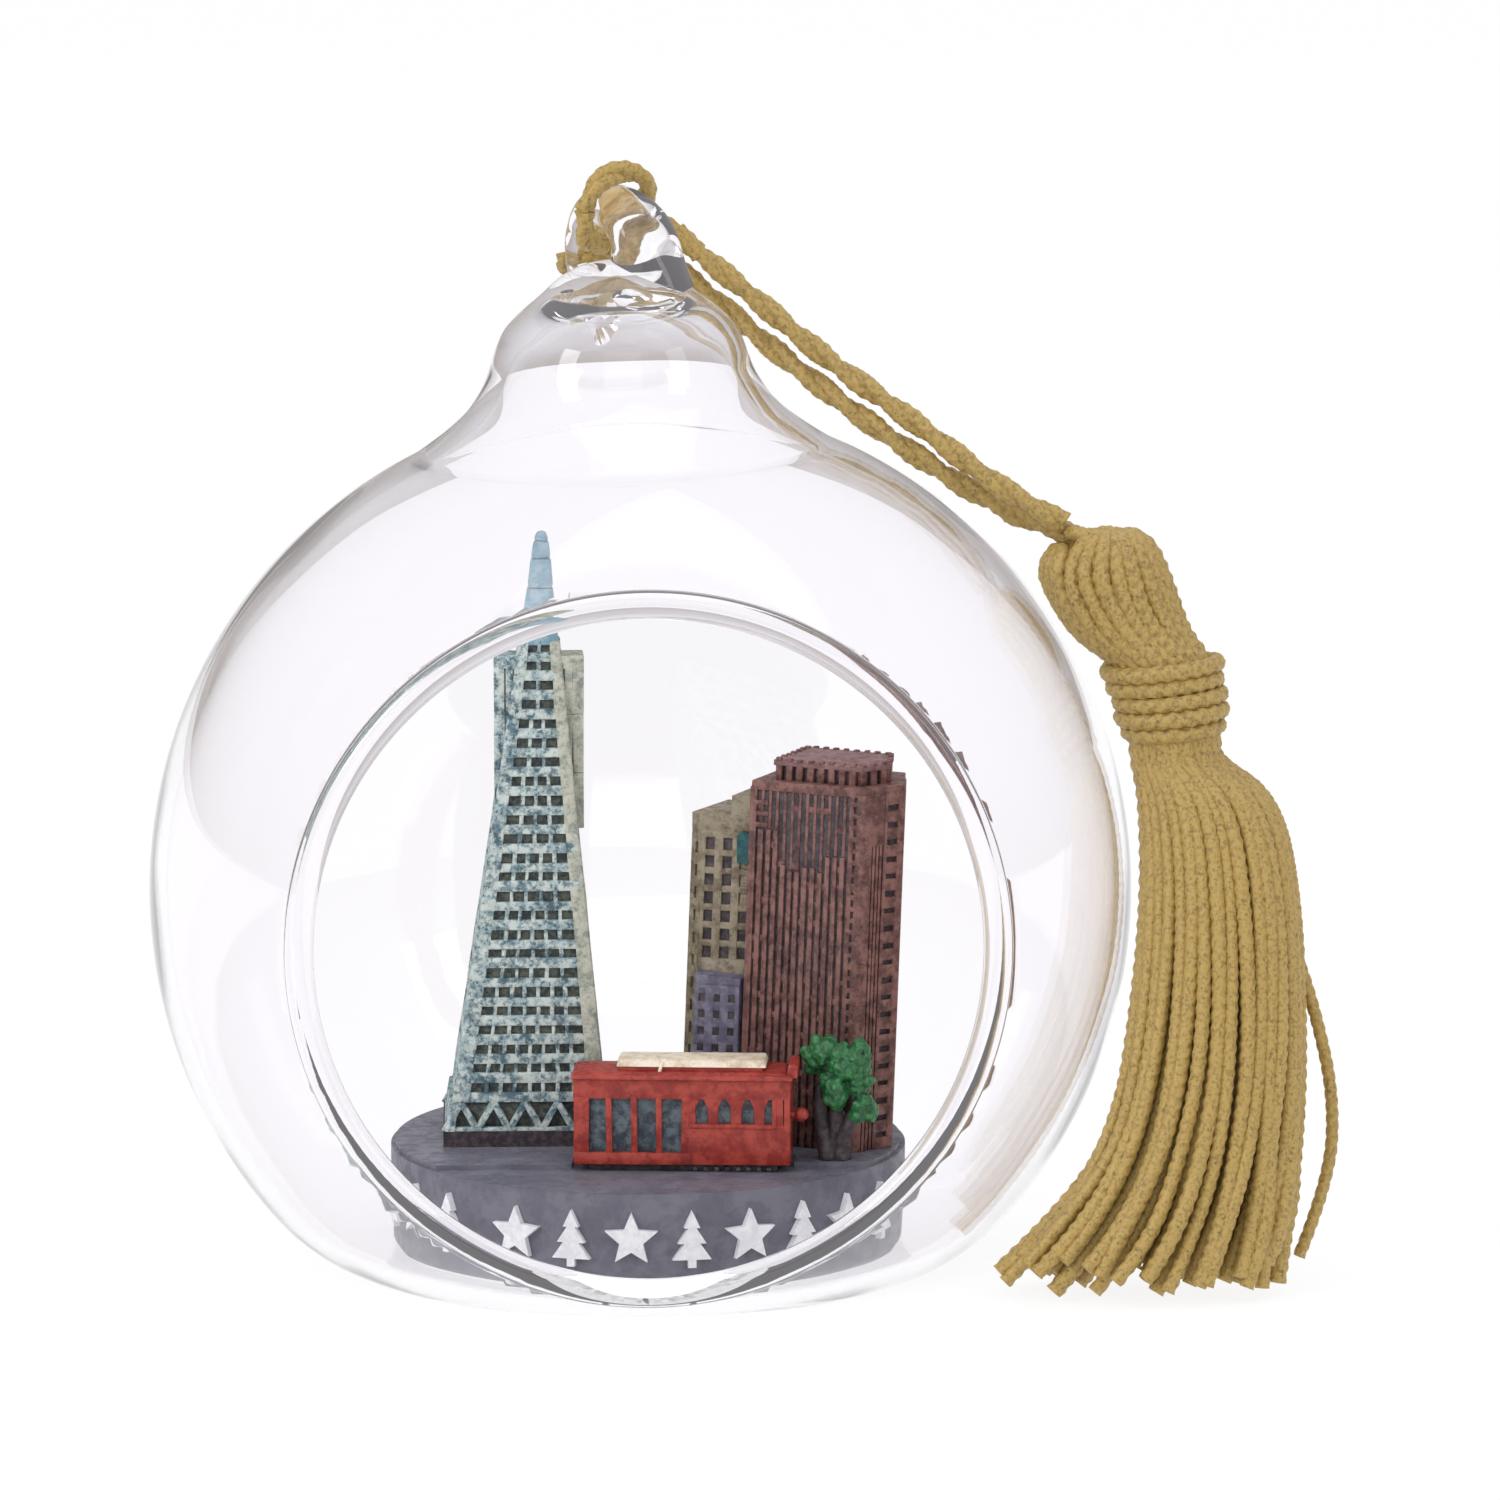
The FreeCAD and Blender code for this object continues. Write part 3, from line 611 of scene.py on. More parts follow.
def glass_hook():
    """The drawn-out stem, curled over and pressed back on the shoulder, with a pinch twisted in."""
    line = resample(spline_points([mm(*p) for p, _ in HOOK]), 0.2 * MM)
    radii = np.interp(np.linspace(0, 1, len(line)), np.linspace(0, 1, len(HOOK)), [r for _, r in HOOK])
    rings = []
    for i, (point, _, side, up) in enumerate(frames_along(line)):
        share = i / (len(line) - 1)
        pinch = 0.10 * math.exp(-((share - 0.22) / 0.12) ** 2)
        ring = []
        for j in range(48):
            a = 2 * math.pi * j / 48
            r = radii[i] * (1 + pinch * math.cos(3 * a + 9 * share)) * MM
            ring.append(point + turned(side, up, a) * r)
        rings.append(ring)
    parts = MeshParts()
    parts.ring_tube(rings)
    return parts.build("glass_stem")


def add_glass():
    body = glass_shell()
    forward = Vector((0, -1, 0))
    bead_y = -math.sqrt(GLOBE_R ** 2 - OPENING_R ** 2) + 0.98
    combine(body, cylinder("cutter", mm(0, -15.0, GLOBE_Z), forward, OPENING_R * MM, 0.05), "DIFFERENCE")
    bead = torus("bead", mm(0, bead_y, GLOBE_Z), forward, OPENING_R * MM, BEAD_R * MM)
    outward_normals(bead)
    combine(body, bead, "UNION")
    stem = glass_hook()
    outward_normals(stem)
    combine(body, stem, "UNION", crossing=True)
    body.data.shade_smooth()
    body.data.set_sharp_from_angle(angle=math.radians(50))
    finish_piece(body, "globe", clear_glass(), "clear_glass", "glass_globe", "opening_rim", "glass_hook")


# ---------------------------------------------------------------- tassel
HEAD = [(35.9, 39.5, -4.6, -2.2, 60.6), (33.6, 41.4, -6.6, -0.6, 59.8), (31.9, 42.7, -7.8, 0.6, 57.4),
        (33.2, 43.6, -8.2, 0.4, 54.6), (35.0, 44.5, -8.4, -0.4, 52.4), (36.9, 45.6, -8.6, -1.4, 51.1)]
BINDING = [(37.0, 46.4, -9.4, -0.9, 51.1), (37.6, 47.0, -9.9, -1.4, 49.0),
           (38.7, 47.2, -10.3, -2.1, 45.6), (39.0, 47.0, -10.2, -2.4, 43.8)]
SKIRT = [(39.7, 52.0, -12.2, -1.4, 39.3), (39.9, 53.4, -14.6, -3.4, 31.0), (38.9, 53.8, -16.4, -5.2, 20.0),
         (36.8, 53.4, -17.4, -6.6, 12.0), (32.6, 53.0, -18.6, -7.6, 5.6), (27.2, 52.6, -19.4, -8.8, 0.3)]
BINDING_TILT = math.tan(math.radians(9.5))


def on_section(section, share, angle):
    x0, x1, y0, y1, z = section
    return mm((x0 + x1) / 2 + share * (x1 - x0) / 2 * math.cos(angle),
              (y0 + y1) / 2 + share * (y1 - y0) / 2 * math.sin(angle), z)


def section_at(sections, z):
    """The section at height z, between the two nearest given ones."""
    table = np.array(sorted(sections, key=lambda s: s[4]))
    return [float(np.interp(z, table[:, 4], table[:, k])) for k in range(4)] + [z]


def tilted(point, middle_x):
    return point + Vector((0, 0, (point.x - middle_x * MM) * BINDING_TILT))


def loft_core(name, sections, share, body, gold):
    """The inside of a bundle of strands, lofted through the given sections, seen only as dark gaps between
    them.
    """
    parts = MeshParts()
    rings = [[on_section(s, share, 2 * math.pi * k / 40) for k in range(40)] for s in sections]
    parts.ring_tube(rings)
    core = parts.build(name)
    outward_normals(core)
    finish_piece(core, body, gold, "gold_cord")


def add_tassel_head(gold):
    """Strands looped over the end of the hanging cord and brought down into the binding."""
    rng = random.Random(3)
    loft_core("tassel_head_core", [section_at(HEAD, z) for z in (60.0, 59.4, 57.4, 54.6, 52.4, 51.1)] +
              [section_at(BINDING, z) for z in (49.0, 45.6, 44.0)], 0.74, "tassel_top", gold)
    parts = MeshParts()
    count = 22
    for k in range(count):
        angle = 2 * math.pi * (k + rng.uniform(-0.12, 0.12)) / count
        outer_lobe = abs(angle - math.pi) < 0.75
        if outer_lobe:
            crown, spread, rise = mm(33.9, -3.2, 58.6), 0.18, 0.5
            brow = on_section(section_at(HEAD, 58.8), 0.93, angle)
        else:
            crown, spread, rise = mm(37.9, -3.5, 60.3), 0.35, 0.35
            brow = on_section(HEAD[1], 0.86, angle)
        start = crown.lerp(on_section(HEAD[1], 1.0, angle), spread)
        points = [start + mm(0, 0, -0.7), start + mm(0, 0, rise), brow]
        for section in HEAD[2:5]:
            share = 0.88 + rng.uniform(-0.03, 0.02)
            points.append(on_section(section, share, angle + rng.uniform(-0.03, 0.03)))
        for z in (50.6, 48.6, 46.6):
            points.append(on_section(section_at(BINDING, z), 0.72, angle + 0.05))
        line = resample(spline_points(points), 0.2 * MM)
        knitted_strand(parts, line, rng.uniform(0.66, 0.78) * MM, rng.uniform(1.0, 1.2) * MM,
                       start_angle=rng.uniform(0, 3))
    strands = parts.build("tassel_head_strands")
    finish_piece(strands, "tassel_top", gold, "gold_cord", "tassel_head")
    collar = MeshParts()
    points = [on_section((34.6, 38.4, -4.9, -1.6, 60.2), 1.0, a) + mm(0, 0, 0.45 * math.cos(a + 2.6))
              for a in np.linspace(0.3, 2 * math.pi + 0.1, 12)]
    knitted_strand(collar, resample(spline_points(points), 0.18 * MM), 0.62 * MM, 1.0 * MM)
    finish_piece(collar.build("tassel_top_collar"), "tassel_top", gold, "gold_cord")


def add_tassel_binding(gold):
    """Five turns of a thicker strand wound tightly round the neck."""
    rng = random.Random(5)
    parts = MeshParts()
    turns, per_turn = 5, 14
    points = []
    for i in range(turns * per_turn + 1):
        share = i / (turns * per_turn)
        z = 50.7 - 6.2 * share
        angle = 2 * math.pi * i / per_turn + 0.8
        grip = 0.90 + 0.035 * math.sin(2.3 * i / per_turn) + rng.uniform(-0.008, 0.008)
        points.append(tilted(on_section(section_at(BINDING, z), grip, angle), 42.4))
    line = resample(spline_points(points), 0.2 * MM)
    knitted_strand(parts, line, 0.72 * MM, 1.15 * MM, sides=14)
    finish_piece(parts.build("tassel_binding_turns"), "tassel_top", gold, "gold_cord", "tassel_binding")


def skirt_strand(parts, rng, angle, share, radius, step):
    drift = rng.uniform(-0.10, 0.10)
    points = []
    for z in (47.0, 44.6, 42.4):
        points.append(on_section(section_at(BINDING, z), share * 0.80, angle))
    points.append(on_section(SKIRT[0], share * 0.90, angle))
    for depth, section in enumerate(SKIRT[1:5]):
        wander = 0.02 * (depth + 1)
        spread = 0.94 + (0.03 * depth if math.cos(angle) < 0 else 0.0)
        points.append(on_section(section, share * (spread + rng.uniform(-wander, wander)),
                                 angle + drift * (depth + 1) / 4 + rng.uniform(-wander, wander)))
    tip_z = rng.uniform(0.75, 3.4)
    tip = section_at(SKIRT, tip_z)
    splay = 0.14 if math.cos(angle) < -0.2 else 0.0
    points.append(on_section(tip, share * (rng.uniform(0.86, 0.97) + splay), angle + drift * 1.1))
    points[-1].z = max(points[-1].z, 0.85 * MM)
    line = resample(spline_points(points), step)
    knitted_strand(parts, line, radius, rng.uniform(1.0, 1.25) * MM, start_angle=rng.uniform(0, 3), sides=10)


def add_tassel_skirt(gold):
    """The free strands, in a fan that hangs from the binding and brushes the surface at its tips."""
    rng = random.Random(8)
    rings = (("skirt_outer_right", 0.97, 17, -math.pi / 2, 0.22),
             ("skirt_outer_left", 0.97, 17, math.pi / 2, 0.22),
             ("skirt_middle", 0.74, 25, None, 0.30), ("skirt_inner", 0.46, 14, None, 0.40))
    for name, share, count, first, step in rings:
        parts = MeshParts()
        span = 2 * math.pi if first is None else math.pi
        for k in range(count):
            angle = (first or 0.0) + span * (k + 0.5 + rng.uniform(-0.2, 0.2)) / count
            drawn_in = share - rng.uniform(0.0, 0.05)
            skirt_strand(parts, rng, angle, drawn_in, rng.uniform(0.55, 0.76) * MM, step * MM)
        strands = parts.build("tassel_" + name)
        stands_for = ["tassel_skirt"] if name == "skirt_outer_right" else []
        finish_piece(strands, None, gold, "gold_cord", *stands_for)
        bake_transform(strands)


# ---------------------------------------------------------------- painted resin
def resin(name, base, dark, light, scale, roughness, wash):
    """Hand-painted cast resin: a base coat, a dark wash in random blotches and speckles, darker in the
    hollows, and a brushed light edge.
    """
    paint = Paint(name, base, roughness)
    brushed = paint.ramp(paint.noise(scale * 3, 4, 0.7), 0.44, 0.58)
    worn = paint.math("MULTIPLY", paint.ramp(paint.cavity(), 0.49, 0.58), brushed)
    blotches = paint.ramp(paint.noise(scale, 4, 0.65), 0.42, 0.62)
    speckle = paint.ramp(paint.noise(scale * 7, 3, 0.7), 0.46, 0.60)
    colour = paint.mix(paint.math("MULTIPLY", blotches, wash), base, dark)
    colour = paint.mix(paint.math("MULTIPLY", speckle, wash), colour, dark)
    colour = paint.mix(worn, colour, light)
    # darker in the hollows: the dark colour wherever the mesh's pointiness is low
    hollow = paint.ramp(paint.cavity(), 0.43, 0.49, ((1, 1, 1), (0, 0, 0)))
    colour = paint.mix(hollow, colour, dark)
    paint.colour(colour)
    paint.roughness(speckle, roughness - 0.1, roughness + 0.15)
    paint.bump(paint.noise(scale * 5, 4, 0.6), 0.00006, 0.6)
    return paint.material


def repaint(node, material):
    """A CAD node keeps its mesh and takes a painted finish."""
    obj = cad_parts[node]
    obj.data.materials.clear()
    obj.data.materials.append(material)


# base coat, dark colour of the wash and of the hollows, brushed light edge, pattern scale, roughness,
# strength of the wash
RESINS = {
    "slate": ("slate_resin", (0.125, 0.124, 0.158), (0.07, 0.07, 0.09),
              (0.16, 0.16, 0.195), 120, 0.5, 0.15),
    "white": ("white_relief", (0.72, 0.72, 0.756), (0.315, 0.315, 0.36),
              (0.828, 0.828, 0.846), 300, 0.45, 0.03),
    "red": ("red_paint", (0.30, 0.022, 0.014), (0.09, 0.010, 0.010),
            (0.42, 0.055, 0.035), 260, 0.42, 0.25),
    "dark": ("slate_window", (0.045, 0.065, 0.085), (0.012, 0.016, 0.022),
             (0.12, 0.16, 0.19), 400, 0.4, 0.5),
    "cream": ("cream_paint", (0.74, 0.64, 0.48), (0.30, 0.17, 0.09),
              (0.86, 0.78, 0.64), 240, 0.5, 0.3),
    "brown": ("brown_paint", (0.128, 0.0511, 0.0413), (0.0185, 0.00924, 0.0119),
              (0.222, 0.103, 0.0866), 300, 0.6, 0.4),
    "tan": ("tan_paint", (0.194, 0.155, 0.0972), (0.036, 0.0252, 0.018),
            (0.288, 0.245, 0.173), 260, 0.6, 0.4),
    "lilac": ("lilac_paint", (0.119, 0.108, 0.169), (0.036, 0.0324, 0.0504),
              (0.187, 0.18, 0.238), 260, 0.55, 0.3),
    "pale": ("pale_tower", (0.314, 0.408, 0.418), (0.0427, 0.0997, 0.128),
             (0.532, 0.589, 0.551), 420, 0.6, 1.0),
    "pane": ("tower_pane", (0.022, 0.035, 0.042), (0.01, 0.018, 0.024),
             (0.10, 0.11, 0.08), 700, 0.5, 0.5),
    "pier": ("tower_pier", (0.383, 0.391, 0.306), (0.102, 0.145, 0.153),
             (0.476, 0.476, 0.391), 420, 0.6, 0.5),
    "spire": ("tower_spire", (0.176, 0.32, 0.4), (0.08, 0.16, 0.224),
              (0.288, 0.4, 0.448), 420, 0.55, 0.3),
    "green": ("green_leaves", (0.0198, 0.144, 0.0405), (0.0054, 0.045, 0.018),
              (0.054, 0.27, 0.081), 500, 0.42, 0.5),
    "bark": ("bark_paint", (0.05, 0.035, 0.04), (0.02, 0.014, 0.018),
             (0.10, 0.08, 0.085), 400, 0.6, 0.5),
    "recess": ("dark_recess", (0.022, 0.016, 0.022), (0.01, 0.008, 0.012),
               (0.07, 0.05, 0.055), 400, 0.6, 0.4),
    "pink": ("crown_top", (0.182, 0.091, 0.0875), (0.084, 0.0385, 0.035),
             (0.252, 0.14, 0.133), 300, 0.6, 0.3),
    "teal": ("teal_paint", (0.0042, 0.0672, 0.0798), (0.0021, 0.0294, 0.0378),
             (0.0126, 0.105, 0.113), 400, 0.45, 0.3),
}


# ---------------------------------------------------------------- cast pieces
class Casting:
    """A cast piece put together from boxes and prisms, softened like resin out of a rubber mould."""

    def __init__(self, name):
        self.name = name
        self.mesh = bmesh.new()
        self.materials = []

    def loft(self, low, top, material):
        """A closed prism between two outlines with the same number of points, given from below."""
        low = [self.mesh.verts.new(p) for p in low]
        top = [self.mesh.verts.new(p) for p in top]
        n = len(low)
        faces = [low[::-1], top]
        faces += [[low[i], low[(i + 1) % n], top[(i + 1) % n], top[i]] for i in range(n)]
        if material not in self.materials:
            self.materials.append(material)
        for corners in faces:
            self.mesh.faces.new(corners).material_index = self.materials.index(material)

    def build(self, slot, nodes, bevel, place=None):
        mesh = bpy.data.meshes.new(self.name)
        bmesh.ops.recalc_face_normals(self.mesh, faces=self.mesh.faces)
        self.mesh.to_mesh(mesh)
        self.mesh.free()
        obj = new_object(self.name, mesh)
        for material in self.materials:
            mesh.materials.append(material)
        if place is not None:
            mesh.transform(place)
        soften(obj, bevel)
        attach(obj, "globe")
        if nodes:
            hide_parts(*nodes)


def soften(obj, width):
    """Round the edges a little, then let the surface wander as a hand-made mould does."""
    bevel = obj.modifiers.new("edges", "BEVEL")
    bevel.width = width * MM
    bevel.segments = 2
    bevel.limit_method = "ANGLE"
    bevel.angle_limit = math.radians(35)
    apply_modifiers(obj)
    for v in obj.data.vertices:
        shifted = v.co * 900 + Vector((7, 3, 1))
        drift = Vector((noise.noise(v.co * 900), noise.noise(shifted), noise.noise(v.co * 700)))
        v.co += drift * 0.07 * MM
    obj.data.shade_smooth()
    obj.data.set_sharp_from_angle(angle=math.radians(38))


def rect(x0, x1, y0, y1, z):
    return [mm(x0, y0, z), mm(x1, y0, z), mm(x1, y1, z), mm(x0, y1, z)]


# ---------------------------------------------------------------- tapered tower
TOWER_FRONT_Y = -4.1
TOWER_DEPTH = 12.4
TOWER_TOP_Z = 51.3
TOWER_LOW_Z = 14.1
ROWS = 24
FACADE_DEEP = 0.5                # how far a facade block reaches into the shaft
CORNER_STEPS = 12                # pieces in each corner pier of the shaft


def shaft_section(z):
    t = (z - TOWER_LOW_Z) / (TOWER_TOP_Z - TOWER_LOW_Z)
    x = -9.2 + t * 1.0
    y = TOWER_FRONT_Y + TOWER_DEPTH / 2
    half_x = 6.2 - 4.575 * t
    half_y = 5.8 - 4.2 * t
    return x - half_x, x + half_x, y - half_y, y + half_y


def shaft_width(z):
    x0, x1, _, _ = shaft_section(z)
    return x1 - x0


def facade_point(corner_a, corner_b, share, z, inward):
    """A point on one face of the shaft at height z, a share of the way across and sunk inward."""
    x0, x1, y0, y1 = shaft_section(z)
    corners = [(x0, y0), (x1, y0), (x1, y1), (x0, y1)]
    a, b = Vector(corners[corner_a]), Vector(corners[corner_b])
    along = (b - a).normalized()
    flat = a.lerp(b, share) + Vector((-along.y, along.x)) * inward
    return mm(flat.x, flat.y, z)


def facade_block(cast, face, s0, s1, z0, z1, proud, material):
    a, b = face, (face + 1) % 4
    plan = ((s0, -proud), (s1, -proud), (s1, FACADE_DEEP), (s0, FACADE_DEEP))
    cast.loft(*([facade_point(a, b, s, z, inward) for s, inward in plan] for z in (z0, z1)), material)


def add_tower(paints):
    """The tapered tower's shaft: a dark core behind a pale raised grid of windows."""
    rng = random.Random(11)
    core = Casting("tower_core")
    low, top = shaft_section(TOWER_LOW_Z), shaft_section(TOWER_TOP_Z)
    inset = 0.34
    inward = (inset, -inset, inset, -inset)
    core.loft(rect(*(v + d for v, d in zip(low, inward)), TOWER_LOW_Z),
              rect(*(v + d for v, d in zip(top, inward)), TOWER_TOP_Z), paints["pane"])
    core.build("pale_blue_paint", ["tower_shaft"], bevel=0.02)
    grid = Casting("tower_grid")
    pitch = (TOWER_TOP_Z - TOWER_LOW_Z) / ROWS
    for face in range(4):
        for row in range(ROWS):
            z = TOWER_LOW_Z + row * pitch
            width = shaft_width(z)
            pier = (0.8 + 0.045 * width) / width
            band = 0.50 + rng.uniform(-0.04, 0.05)
            facade_block(grid, face, 0.02, 0.98, z, z + pitch * band, rng.uniform(0, 0.05), paints["pale"])
            count = max(2, round((width * (1 - 2 * pier)) / 1.18))
            for i in range(1, count):
                share = pier + (1 - 2 * pier) * i / count + rng.uniform(-0.006, 0.006)
                half = (0.14 + rng.uniform(0, 0.05)) / width
                facade_block(grid, face, share - half, share + half, z + pitch * 0.4, z + pitch * 1.05,
                             -0.04, paints["pale"])
        for left in (True, False):
            paint = paints["pier"] if (face, left) in ((0, False), (1, True)) else paints["pale"]
            for step in range(CORNER_STEPS):
                za, zb = (TOWER_LOW_Z + (TOWER_TOP_Z - TOWER_LOW_Z) * k / CORNER_STEPS
                          for k in (step, step + 1))
                share = (0.78 + 0.045 * shaft_width(za)) / shaft_width(za)
                span = (0.0, share) if left else (1 - share, 1.0)
                facade_block(grid, face, *span, za, zb + 0.05, 0.06, paint)
    grid.build("pale_blue_paint", [], bevel=0.07)


BRACE_HALF = 0.30


def add_tower_foot(paints):
    """The foot storey: slanting braces that make triangular bays round a dark core."""
    cast = Casting("tower_truss_foot")
    x0, x1, y0, y1 = -16.05, -2.95, TOWER_FRONT_Y, TOWER_FRONT_Y + TOWER_DEPTH
    low, high = 11.8, TOWER_LOW_Z
    cast.loft(rect(x0 + 0.9, x1 - 0.9, y0 + 0.75, y1 - 0.75, low - 0.1),
              rect(x0 + 1.0, x1 - 1.0, y0 + 0.85, y1 - 0.85, high), paints["pane"])
    bays = 5
    for side in range(4):
        turn = Matrix.Rotation(side * math.pi / 2, 4, "Z")
        middle = Vector(((x0 + x1) / 2, (y0 + y1) / 2, 0))
        half_w = (x1 - x0) / 2 if side % 2 == 0 else (y1 - y0) / 2
        half_d = (y1 - y0) / 2 if side % 2 == 0 else (x1 - x0) / 2
        bay = 2 * half_w / bays

        def outline(x_from, x_to, front, back, z):
            corners = ((x_from, front), (x_to, front), (x_to, back), (x_from, back))
            return [(turn @ Vector((x, y, z)) + middle) * MM for x, y in corners]

        front = -half_d
        for i in range(bays):
            for foot, head in ((-half_w + i * bay, -half_w + (i + 0.5) * bay),
                               (-half_w + (i + 1) * bay, -half_w + (i + 0.5) * bay)):
                back = front + 0.75
                cast.loft(outline(foot - BRACE_HALF, foot + BRACE_HALF, front, back, low),
                          outline(head - BRACE_HALF, head + BRACE_HALF, front + 0.35, back + 0.3, high),
                          paints["pale"])
        cast.loft(outline(-half_w, half_w, front - 0.02, front + 0.7, low - 0.08),
                  outline(-half_w, half_w, front, front + 0.7, low + 0.28), paints["pale"])
    cast.build("pale_blue_paint", ["tower_truss"], bevel=0.07)


def add_tower_top(paints):
    """The two lift shafts and the rounded spire."""
    x0, x1, y0, y1 = shaft_section(TOWER_TOP_Z)
    middle_y = (y0 + y1) / 2
    for name, outer, sign in (("tower_left_wing", -11.9, -1), ("tower_right_wing", -4.6, 1)):
        cast = Casting(name + "_cast")
        paint = paints["pale"] if sign < 0 else paints["pier"]
        half = 1.7
        depth = (middle_y - half, middle_y + half)
        side = 0 if sign < 0 else 1
        for z0, z1 in ((36.0, 40.6), (40.6, 45.4), (45.4, 50.2)):
            low_x, top_x = shaft_section(z0)[side] - sign * 0.6, shaft_section(z1)[side] - sign * 0.6
            low_o = outer if abs(outer - low_x) > 0.3 else low_x + sign * 0.3
            cast.loft(rect(*sorted((low_x, low_o)), *depth, z0),
                      rect(*sorted((top_x, outer)), *depth, z1), paint)
        # two dark strips in the window paint, inlaid in each wing's face: painted shade standing in for
        # grooves that are not cut
        for k in range(2):
            x = outer - sign * (0.9 + 0.7 * k)
            groove = (x - 0.1, x + 0.1, middle_y - half - 0.02, middle_y - half + 0.2)
            cast.loft(rect(*groove, 40.0 + 2 * k), rect(*groove, 49.2), paints["pane"])
        cast.build("pale_blue_paint", [name], bevel=0.16)
    cast = Casting("tower_spire_cast")
    levels = [(TOWER_TOP_Z - 0.3, 1.62), (53.2, 1.34), (55.6, 1.04), (58.0, 0.80), (59.4, 0.62),
              (60.2, 0.36)]
    for (za, ha), (zb, hb) in zip(levels, levels[1:]):
        xa, xb = -8.2 + 0.03 * (za - TOWER_TOP_Z), -8.2 + 0.03 * (zb - TOWER_TOP_Z)
        lap = 0.02 if zb < 60 else 0
        cast.loft(rect(xa - ha, xa + ha, middle_y - ha, middle_y + ha, za),
                  rect(xb - hb, xb + hb, middle_y - hb, middle_y + hb, zb + lap), paints["spire"])
    cast.build("pale_blue_paint", ["tower_spire"], bevel=0.25)


# ---------------------------------------------------------------- town blocks
LEAN = math.tan(math.radians(2.1))
BROWN_PLAN = ((7.8, -2.5), (16.8, -7.7), (20.2, -5.6), (20.6, 0.6), (11.8, 6.0))
TAN_PLAN = ((3.3, 1.8), (4.1, 0.7), (8.3, -0.9), (11.0, 4.7), (6.4, 7.6))
LILAC_PLAN = ((3.9, -0.9), (7.5, -2.25), (8.15, -1.05), (4.2, 0.45))
BROWN_TOP_Z = 40.4
EAVES_Z = 39.9
GROUND_Z = STREET_Z + PAVEMENT_T


def leaned(x, y, z):
    return mm(x + LEAN * (z - STREET_Z), y, z)


def inset_plan(plan, share):
    """The plan drawn in towards its middle by a share of its size."""
    cx, cy = (sum(p[k] for p in plan) / len(plan) for k in (0, 1))
    return [(cx + (x - cx) * (1 - share), cy + (y - cy) * (1 - share)) for x, y in plan]


def prism(cast, plan, z0, z1, material):
    cast.loft([leaned(x, y, z0) for x, y in plan], [leaned(x, y, z1) for x, y in plan], material)


def wall_block(cast, a, b, s0, s1, z0, z1, proud, deep, material):
    """A block on the upright wall from plan point a to b, from share s0 to s1 of its length."""
    a, b = Vector(a), Vector(b)
    along = (b - a).normalized()
    inward = Vector((-along.y, along.x))
    p0, p1 = a.lerp(b, s0), a.lerp(b, s1)
    plan = [p0 - inward * proud, p1 - inward * proud, p1 + inward * deep, p0 + inward * deep]
    prism(cast, [tuple(p) for p in plan], z0, z1, material)


